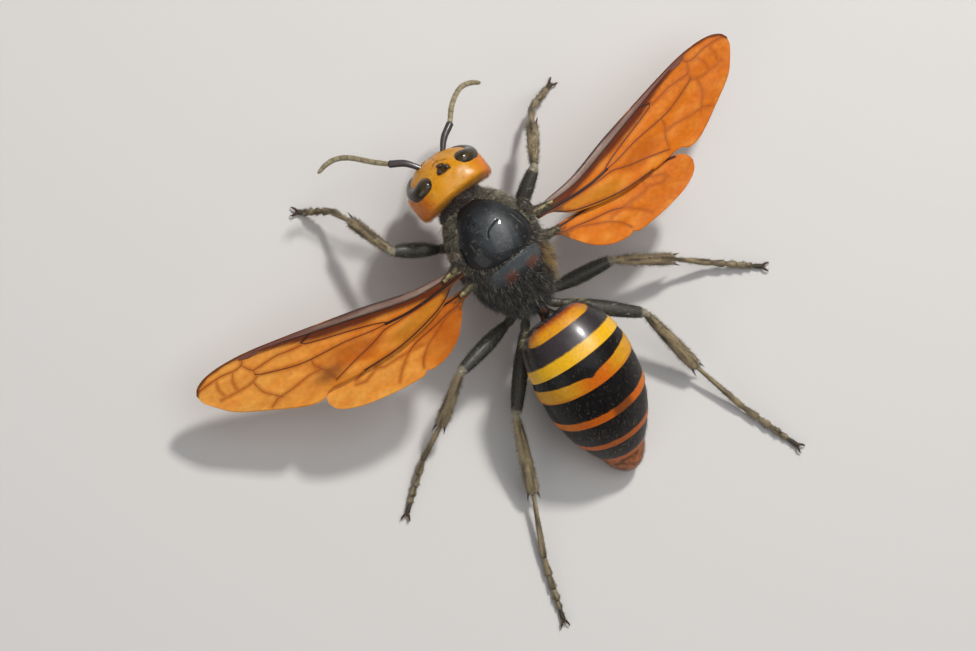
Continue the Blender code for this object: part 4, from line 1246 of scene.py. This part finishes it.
thigh_look = shell_material("black_thigh_shell", 0.46, 0.12, 2200, 0.05, 0.5, Coat_Roughness=0.3)
shin_look = shell_material("dusty_tan_shin", 0.55, 0.1, 3000, 0.05, 0.4, Sheen_Weight=0.15)
for seed, (label, joints) in enumerate(LEG_JOINTS.items(), 70):
    hip, ring_joint, knee, ankle, heel, toe = [np.array(joint) for joint in joints]
    thigh_radius, shin_radius, foot_radius = LEG_RADII[label.split("_")[0]]
    hip_end = toward(ring_joint, hip, 0.12)
    coxa = swept_mesh("hip", (hip, toward(hip, hip_end, 0.5), hip_end), (1.15, 1.0, 0.6), 10, 24)
    olive = np.clip(0.25 + mottle(vertex_places(coxa), 0.8, seed), 0, 1)
    paint(coxa, blend(THIGH_BLACK, THORAX_OLIVE, olive))
    finish_piece("hip_" + label, coxa, thigh_look, ("coxa_" + label,))

    path = [toward(ring_joint, knee, share) for share in (-0.01, 0.06, 0.12)]
    bead = swept_mesh("ring_joint", path, (0.5, 0.62, 0.5), 6, 20)
    paint(bead, blend(THIGH_BLACK, JOINT_PALE, 0.12))
    thigh = limb_bar(ring_joint, knee, THIGH_PROFILE, thigh_radius, 0.9)
    upper = vertex_normals(thigh)[:, 2]
    reach = knee - ring_joint
    along = (vertex_places(thigh) - ring_joint) @ reach / (reach @ reach)
    paint(thigh, layered(
        THIGH_BLACK,
        # Painted highlight: grey on the upward-facing side of the black thigh
        (THIGH_HIGHLIGHT_GREY, 0.55 * ramp(upper, 0.5, 0.95)),
        (JOINT_PALE, 0.55 * ramp(along, 0.93, 0.97) * ramp(upper, -0.5, 0.5)),
    ))
    leg_skins["thigh_" + label] = (skin_of(thigh), ring_joint, knee, 0.36)
    finish_piece("thigh_" + label, joined_mesh("thigh", (bead, thigh)), thigh_look,
                 ("femur_" + label,))

    path = (toward(knee, ankle, -0.02), toward(knee, ankle, 0.05))
    knee_ball = paint(swept_mesh("knee", path, (0.4, 0.42), 6, 18), blend(SHIN_DARK, JOINT_PALE, 0.6))
    shin = limb_bar(knee, ankle, SHIN_PROFILE, shin_radius, 0.85)
    lower = (ankle - knee) / np.linalg.norm(ankle - knee)
    paint(shin, shin_colours(shin, seed + 10, lower))
    leg_skins["shin_" + label] = (skin_of(shin), knee, ankle, 0.5)
    aside = np.cross(lower, (0, 0, 1))
    aside /= np.linalg.norm(aside)
    spurs = []
    for sign in (-1, 1) if not label.startswith("fore") else (1,):
        root = toward(knee, ankle, 0.93) + aside * sign * 0.45 * shin_radius - np.array((0, 0, 0.25))
        path = (root, root + lower * 0.9 + aside * sign * 0.28,
                root + lower * 1.7 + aside * sign * 0.42 - np.array((0, 0, 0.05)))
        spurs.append(paint(swept_mesh("spur", path, (0.16, 0.11, 0.02), 6, 10), SHIN_DARK))
    finish_piece("shin_" + label, joined_mesh("shin", (knee_ball, shin, *spurs)), shin_look,
                 ("tibia_" + label,))

    sole = toward(heel, toe, SOLE_END)
    sole[2] = FOOT_HEIGHT
    foot_joints = [(toward(ankle, heel, 0.02), heel, 0.85)]
    foot_joints += [(toward(heel, toe, a), toward(heel, toe, b), 1) for a, b in zip(FOOT_ENDS, FOOT_ENDS[1:])]
    foot_joints.append((toward(heel, toe, FOOT_ENDS[-1]), sole, 0.9))
    parts = []
    for number, (start, end, stout) in enumerate(foot_joints):
        size, length = foot_radius * stout, np.linalg.norm(end - start)
        path = (start, toward(start, end, 0.45), toward(start, end, max(0.6, 1 - 0.35 / length)), end)
        joint = swept_mesh("foot_joint", path, (0.6 * size, 0.85 * size, 1.05 * size, 0.62 * size), 6, 16)
        reach = (vertex_places(joint) - start) @ (end - start) / length ** 2
        colours = shin_colours(joint, seed + 20 + number, (end - start) / length)
        dark = 0.5 * ramp(reach, 0.88, 1.0) + 0.25 * (number > 0)
        parts.append(paint(joint, blend(colours, SHIN_DARK, dark)))
    ahead = (toe - heel) * (1, 1, 0)
    ahead /= np.linalg.norm(ahead)
    beside = np.array((-ahead[1], ahead[0], 0))
    path = (sole, toward(sole, toe, 0.6), toe + ahead * 0.1)
    parts.append(paint(swept_mesh("last_joint", path, (0.24, 0.32, 0.3), 6, 16), SHIN_DARK))
    path = (toe, toe + ahead * 0.35 - np.array((0, 0, 0.12)))
    parts.append(paint(swept_mesh("pad", path, (0.2, 0.17), 4, 14), WHIP_DARK))
    for sign in (-1, 1):
        path = (toe, toe + ahead * 0.45 + beside * sign * 0.32 + np.array((0, 0, 0.16)),
                toe + ahead * 0.85 + beside * sign * 0.5 + np.array((0, 0, 0.05)),
                toe + ahead * 1.05 + beside * sign * 0.48 - np.array((0, 0, 0.28)))
        parts.append(paint(swept_mesh("claw", path, (0.16, 0.14, 0.09, 0.02), 6, 10), CLAW_BROWN))
    foot = joined_mesh("foot", parts)
    places = vertex_places(foot)
    places[:, 2] = np.maximum(places[:, 2], 0)
    move_vertices(foot, places)
    leg_skins["foot_" + label] = ((places, *skin_of(foot)[1:]), heel, toe, 0.3)
    finish_piece("foot_" + label, foot, shin_look, ("tarsus_" + label,))


# Hairs of the abdomen and legs
# Fine short hairs grow from the shell and lie back along each ring and joint. On the shins and feet they are
# stiffer and stand out, and on the front of the first ring they make a pale fringe.

RING_TUFTS, LEG_TUFTS = 3000, 1050
RING_HAIR_DARK, RING_HAIR_PALE, FRINGE_PALE = (46, 34, 22), (200, 158, 92), (206, 190, 146)
# Dark and pale hair of the leg's joints
THIGH_HAIR, SHIN_HAIR = ((40, 38, 34), (120, 116, 100)), ((60, 48, 32), (150, 130, 92))


def ring_unwrap(points):
    turn = np.arctan2(points[:, 2] - 9, points[:, 0]) / math.tau
    return np.stack((0.5 + 0.95 * turn, 0.02 + 0.96 * np.clip((points[:, 1] - 10) / 22, 0, 1)), axis=1)


def leg_unwrap(place, start, axis):
    """A strip of the unwrap for each joint, along the joint and round it."""
    def unwrap(points):
        along = np.clip((points - start) @ axis / (axis @ axis), -0.1, 1.1)
        turn = np.arctan2(points[:, 2] - start[2] - along * axis[2],
                          (points - start) @ np.cross(unit(axis), (0, 0, 1)))
        across = (place + 0.5 + 0.8 * turn / math.tau) / len(leg_skins)
        return np.stack((across, 0.1 + 0.7 * (along + 0.1)), axis=1)
    return unwrap


def fringe_share(points, way):
    """1 on the front of the first ring, 0 behind it."""
    return ramp((points - np.array(RING_START)) @ way, 1.7, 0.8)


rng = np.random.default_rng(11)
coats = []
for number, (skin, way) in ring_skins.items():
    def ring_hair_share(points, ways):
        share = (0.15 if number == 1 else 0.6) + 0.4 * ramp(points[:, 2], 8, 5)
        if number == 1:
            share = share + fringe_share(points, way)
        return np.where(np.abs(ways @ way) > 0.97, 0, np.minimum(share, 1))
    roots, ways = skin_points(skin, RING_TUFTS, rng, ring_hair_share)
    colours = blend(RING_HAIR_DARK, RING_HAIR_PALE, rng.random(len(roots)) ** 3)
    lengths = (0.2 + 0.2 * rng.random(len(roots))) * (1.0 + 0.12 * number)
    if number == 1:
        fringe = fringe_share(roots, way)
        lengths *= 1 + 1.8 * fringe
        colours = blend(colours, FRINGE_PALE, 0.8 * fringe)
    rise = 0.75 if number == 1 else 0.35
    coats.append(coat_mesh("ring_coat", roots, ways, way, rise, lengths, 0.01, colours, ring_unwrap, rng))
finish_piece("abdomen_coat", joined_coats("abdomen_coat", coats), hair_look)

coats = []
for place, (label, (skin, start, end, length)) in enumerate(leg_skins.items()):
    roots, ways = skin_points(skin, LEG_TUFTS, rng, lambda points, ways: 1.0 * (points[:, 2] > 0.35))
    dark, pale = THIGH_HAIR if label.startswith("thigh") else SHIN_HAIR
    colours = blend(dark, pale, rng.random(len(roots)))
    lengths = length * (0.6 + 0.8 * rng.random(len(roots)))
    coats.append(coat_mesh("leg_coat", roots, ways, unit(end - start), 0.65, lengths, 0.017, colours,
                           leg_unwrap(place, start, end - start), rng))
finish_piece("leg_bristles", joined_coats("leg_coat", coats), hair_look)


# Wings
# Four thin amber membranes stiffened by dark brown veins, which are hollow tubes grown into them.
# The front edge of each front wing is a thick strip, grey with a painted reflection. The hind wings hook on
# behind, and lie lower.

# The edges of each wing in mm outward and backward from its root
FRONT_LEADING = ((-2.0, 0.0), (0.0, -0.4), (3.4, -0.45), (6.0, -0.6), (11.4, -1.2), (16.8, -1.6),
                 (24.5, -2.0), (28.4, -1.85), (31.0, -1.35), (32.5, -0.55), (33.0, 0.35))
FRONT_TRAILING = ((-2.0, 0.4), (0.0, 1.0), (2.5, 3.0), (8.2, 5.05), (14.7, 5.9), (18.0, 6.1), (19.4, 6.9),
                  (21.6, 6.75), (25.5, 5.5), (29.4, 4.0), (31.3, 2.6), (32.6, 1.4), (33.0, 0.35))
HIND_LEADING = ((-2.2, -0.1), (0.0, -0.35), (5.0, -0.3), (11.2, -0.2), (16.7, -0.1), (18.9, 0.2), (20.0, 0.9),
                (20.35, 1.8))
HIND_TRAILING = ((-2.2, 0.3), (0.2, 0.8), (1.7, 2.5), (3.3, 4.1), (5.4, 5.15), (7.5, 5.45), (8.6, 5.2),
                 (9.3, 5.55), (12.9, 5.2), (16.4, 4.5), (18.6, 3.7), (19.9, 2.8), (20.35, 1.8))
WING_DROOP = 12.6
# Root in mm, sweep forward, twist that lifts the rear edge, and the two edges
WINGS = {
    "forewing_left": ((7.6, -0.2, 15.7), 14.4, -5, FRONT_LEADING, FRONT_TRAILING),
    "forewing_right": ((-7.1, 0.3, 15.7), 5.6, -6, FRONT_LEADING, FRONT_TRAILING),
    "hindwing_left": ((7.3, 2.1, 14.7), 4.0, 4, HIND_LEADING, HIND_TRAILING),
    "hindwing_right": ((-6.1, 3.0, 14.7), -5.5, 2, HIND_LEADING, HIND_TRAILING),
}
MEMBRANE_HALF, MEMBRANE_STEPS, MEMBRANE_ROWS = 0.04, 150, 34
AMBER, AMBER_PALE, AMBER_DEEP, AMBER_RED = (218, 116, 14), (244, 168, 72), (180, 86, 10), (92, 32, 12)
ROOT_BROWN, ROOT_OCHRE, AMBER_PAINTED_SHADOW = (92, 60, 30), (190, 128, 30), (112, 58, 22)
RED_ZONE = ((-1.8, 0.3), (3.0, 0.35), (11.1, -0.2), (16.8, -0.65), (20.7, -1.3), (24.5, -1.7))
VEIN_BROWN, VEIN_THIN, STRIP_REFLECTION_GREY, VEIN_PURPLE = (42, 18, 9), (146, 70, 16), (146, 124, 110), (112, 70, 60)
# Veins as knots in mm outward and backward from the wing's root, each with its radius
FRONT_VEINS = (
    (((-1.8, 0.15), (0.9, 0.7), (3.4, 1.26), (6.3, 1.7), (9.0, 1.8)), 0.17),
    (((8.5, 1.76), (9.4, 1.44), (11.1, 1.08), (14.1, 0.64), (16.8, 0.28), (18.75, -0.07),
      (19.0, -0.34)), 0.1),
    (((19.0, -0.34), (17.6, -0.9), (16.8, -1.15)), 0.12),
    (((19.0, -0.07), (20.7, -0.07), (22.2, -0.16), (24.1, 0.1), (25.5, 0.32)), 0.075),
    (((9.0, 1.8), (10.9, 1.85), (14.0, 1.71), (16.1, 1.79), (18.75, 1.92), (20.7, 1.85), (22.6, 1.53),
      (24.9, 1.08), (25.5, 0.82)), 0.09),
    (((25.5, 0.82), (25.5, 0.35)), 0.07),
    (((-1.6, 0.35), (0.9, 1.0), (4.0, 1.6), (7.0, 2.05), (9.2, 2.33), (9.9, 2.6), (11.5, 3.3), (14.3, 4.3),
      (16.1, 5.0), (17.0, 5.35)), 0.09),
    (((18.75, 1.97), (18.65, 2.77), (18.0, 3.49), (17.4, 4.2), (17.0, 5.1)), 0.07),
    (((18.0, 3.49), (19.7, 3.57), (22.2, 4.2), (24.1, 4.46), (25.3, 5.18)), 0.065),
    (((23.6, 4.58), (25.3, 3.3), (25.8, 2.6), (26.1, 1.6)), 0.065),
    (((25.4, 1.08), (26.1, 1.5), (27.1, 1.73), (29.6, 1.94), (30.5, 1.96)), 0.06),
    (((26.3, -1.68), (26.4, -1.05), (27.3, -0.6), (29.5, -0.6), (31.4, -0.3), (32.5, -0.05)), 0.075),
    (((26.6, -0.79), (26.0, -0.07), (25.5, 0.32)), 0.07),
    (((27.9, -0.5), (28.3, 0.5), (28.3, 1.4), (28.1, 1.85)), 0.055),
    (((30.1, -0.5), (30.3, 0.6), (30.1, 1.2), (29.8, 1.9)), 0.05),
    (((0.3, 1.1), (2.6, 2.8), (8.2, 4.85), (13.5, 5.72)), 0.11),
)
HIND_VEINS = (
    (((-2.2, 0.0), (0.0, 0.0), (5.0, -0.06), (11.2, -0.04), (16.7, 0.1), (18.6, 0.35)), 0.14),
    (((11.2, 0.0), (12.3, 0.31), (13.05, 0.33), (14.6, 0.89), (16.2, 1.44)), 0.06),
    (((-2.0, 0.25), (1.0, 0.8), (2.6, 0.99), (4.9, 1.37), (7.5, 1.68), (9.0, 2.17)), 0.09),
    (((9.0, 2.17), (9.9, 2.74), (10.7, 3.31), (11.6, 4.1), (11.9, 4.45)), 0.06),
    (((9.0, 2.17), (10.5, 2.01), (12.3, 1.98), (13.3, 1.64), (15.2, 2.11), (16.4, 1.82)), 0.06),
    (((13.3, 1.64), (13.05, 0.33)), 0.05),
    (((0.8, 0.95), (3.1, 1.31), (5.0, 2.09), (6.4, 2.67), (7.9, 3.65), (8.6, 4.7)), 0.07),
    (((6.4, 2.67), (7.6, 2.3), (9.0, 2.17)), 0.05),
)
EDGE_STRIP = ((-1.5, -0.1), (0.0, -0.35), (3.4, -0.05), (6.0, -0.1), (11.4, -0.7), (16.8, -1.15),
              (21.0, -1.5), (24.5, -1.75), (28.4, -1.72), (31.0, -1.28), (32.4, -0.55), (32.95, 0.25))
STRIP_RADII = (0.22, 0.38, 0.5, 0.54, 0.54, 0.46, 0.36, 0.26, 0.16, 0.1, 0.08, 0.05)
# The thicker dark spot near the end of the strip
STIGMA, STIGMA_RADII = ((24.1, -1.5), (25.3, -1.45), (26.6, -1.55)), (0.12, 0.22, 0.12)


def wing_height(out, back):
    """Gentle folds: down between the veins, up along the front edge, and ripples toward the margin."""
    wave = 0.12 * np.sin(back * 2.1 + out * 0.25) * ramp(out, 1, 6)
    ripple = 0.005 * np.sin(out * 4.1 + back * 1.3 + np.sin(out * 1.7)) * ramp(back - 0.08 * out, 1.6, 3.6)
    return 0.6 * wave + ripple - 0.0005 * (out - 14) ** 2


def wing_matrix(root, sweep, twist, side):
    turns = [math.radians(turn) for turn in (twist, side * WING_DROOP, -side * sweep)]
    move = Matrix.Translation(root)
    return move @ Matrix.Rotation(turns[2], 4, "Z") @ Matrix.Rotation(turns[1], 4, "Y") @ Matrix.Rotation(
        turns[0], 4, "X")


def evenly(knots, count):
    """That many points at even steps along a smooth curve through knots."""
    path = smooth_path(knots, 14)
    run = np.concatenate(((0,), np.cumsum(np.linalg.norm(np.diff(path, axis=0), axis=1))))
    steps = np.linspace(0, run[-1], count)
    return np.stack([np.interp(steps, run, path[:, i]) for i in range(path.shape[1])], axis=1)


def membrane_mesh(leading, trailing, side, place):
    """A sheet between the two edges, with its two faces a hair apart; also its points on the flat wing."""
    front, rear = evenly(leading, MEMBRANE_STEPS), evenly(trailing, MEMBRANE_STEPS)
    shares = np.linspace(0, 1, MEMBRANE_ROWS)[None, :, None]
    flat = front[:, None] * (1 - shares) + rear[:, None] * shares
    sheet = np.concatenate((flat, wing_height(flat[..., 0], flat[..., 1])[..., None]), axis=2)
    half = np.array((0, 0, MEMBRANE_HALF))
    rows = np.concatenate((sheet + half, sheet[:, ::-1] - half), axis=1)
    flat_places = np.concatenate((rows.reshape(-1, 3), [rows[0].mean(axis=0), rows[-1].mean(axis=0)]))
    rows[..., 0] *= side
    mesh = grid_mesh("membrane", rows)
    mesh.transform(place)
    return outward_faces(mesh), flat_places


def membrane_colours(flat, front_wing, left):
    """Amber, deeper beside the veins, red behind the front strip, and paler on the left wings as painted
    light.
    """
    out, back = flat[:, 0], flat[:, 1]
    points = np.stack((0.6 * out, 1.4 * back, 0 * out), axis=1)
    broad, fine = mottle(points, 1.6, 90), mottle(points, 0.35, 91)
    outer = ramp(out, 12, 26) if front_wing else ramp(out, 4, 14)
    # Painted light and shade: the left wings paler, the right ones deeper amber toward the tip
    layers = [(AMBER_PALE, np.clip(0.1 + 0.5 * broad + left * (0.2 + 0.5 * outer), 0, 1)),
              (AMBER_DEEP, np.clip(0.3 * fine + 0.3 * (not left) * outer, 0, 1))]
    if front_wing:
        layers.append((ROOT_OCHRE, 0.6 * (ramp(back - 0.3 * out, 0.2, 0.9) * ramp(out, 11, 7))))
    elif left:
        # Painted shade: deeper amber near the root of the left hind wing
        layers.append((AMBER_DEEP, 0.7 * ramp(out, 9, 4)))
    veins = FRONT_VEINS if front_wing else HIND_VEINS
    nearest = np.min([near_path(flat, knots) for knots, _ in veins], axis=0)
    layers.append((AMBER_DEEP, 0.6 * ramp(nearest, 0.45, 0.1)))
    if front_wing:
        disc = np.hypot((out - 13.5) / 4.5, (back - 3.2) / 1.5)
        margin = near_path(flat, FRONT_LEADING[5:])
        zone = near_path(flat, RED_ZONE) / (0.8 - 0.4 * ramp(out, 13, 24))
        layers += [(AMBER_DEEP, 0.6 * ramp(disc + 0.3 * broad, 1.1, 0.5)),
                   (AMBER_RED, 0.9 * ramp(margin + 0.05 * fine, 0.42, 0.15)),
                   (AMBER_RED, 0.95 * ramp(zone + 0.1 * broad, 1.45, 0.65))]
    if front_wing and left:
        # Painted shadow: a dark brown patch on the left front wing
        off = np.hypot((out - 17.6) / 2.6, (back - 4.3) / 1.3)
        layers.append((AMBER_PAINTED_SHADOW, 0.65 * ramp(off + 0.3 * broad, 1.1, 0.2)))
    return layered(AMBER, *layers, (ROOT_BROWN, 0.9 * ramp(out + fine, 2.0, 0.4)))


def vein_mesh(knots, radii, side, place, flatness=0.8):
    """A raised bar along knots on the flat wing, with a radius at each."""
    count = max(6, 3 * len(knots))
    flat = evenly(knots, count)
    path = np.concatenate((flat, wing_height(flat[:, 0], flat[:, 1])[:, None]), axis=1)
    sizes = evenly([(size, i) for i, size in enumerate(radii)], count)[:, 0]
    path[:, 0] *= side
    mesh = swept_mesh("vein", path, sizes, 2, 10, flatness)
    mesh.transform(place)
    return outward_faces(mesh)


def strip_colours(places):
    """A bar of painted grey reflection between two dark lines, purple brown toward the tip, from places about
    the wing's root.
    """
    out, (knots_out, knots_back) = np.abs(places[:, 0]), np.array(EDGE_STRIP).T
    across = (places[:, 1] - np.interp(out, knots_out, knots_back)) / np.interp(out, knots_out, STRIP_RADII)
    streaks = mottle(np.stack((out * 0.05, across * 0.4, 0 * out), axis=1), 0.15, 92)
    return layered(
        STRIP_REFLECTION_GREY,
        (VEIN_PURPLE, np.clip(0.15 + 1.3 * streaks, 0, 1)),
        (VEIN_PURPLE, ramp(out, 15, 21)),
        (VEIN_BROWN, 0.85 * ramp(np.abs(across + 0.1 + 0.1 * streaks), 0.45, 0.7)),
    )


# Thin clear amber lets some light through and has a soft silky gloss
amber_look = shell_material("amber_membrane", 0.58, 0.0, 1600, 0.05, 0.06, Alpha=0.9, IOR=1.5,
                            Specular_IOR_Level=0.14)
vein_look = shell_material("brown_wing_vein", 0.55, 0.05, 2500, 0.02, 0.1)
for name, (root, sweep, twist, leading, trailing) in WINGS.items():
    side = 1 if name.endswith("left") else -1
    front_wing = name.startswith("fore")
    place = wing_matrix(root, sweep, twist, side)
    membrane, flat = membrane_mesh(leading, trailing, side, place)
    paint(membrane, membrane_colours(flat, front_wing, side > 0))
    finish_piece(name + "_membrane", membrane, amber_look, (name,))
    veins = []
    for knots, radius in FRONT_VEINS if front_wing else HIND_VEINS:
        tone = blend(VEIN_THIN, VEIN_BROWN, ramp(radius, 0.06, 0.13))
        veins.append(paint(vein_mesh(knots, [radius] * len(knots), side, place), tone))
    if front_wing:
        strip = vein_mesh(EDGE_STRIP, STRIP_RADII, side, place, 0.42)
        veins.append(paint(strip, strip_colours(np.array([place.inverted() @ v.co for v in strip.vertices]))))
        veins.append(paint(vein_mesh(STIGMA, STIGMA_RADII, side, place), VEIN_PURPLE))
    finish_piece(name + "_veins", joined_mesh("veins", veins), vein_look)
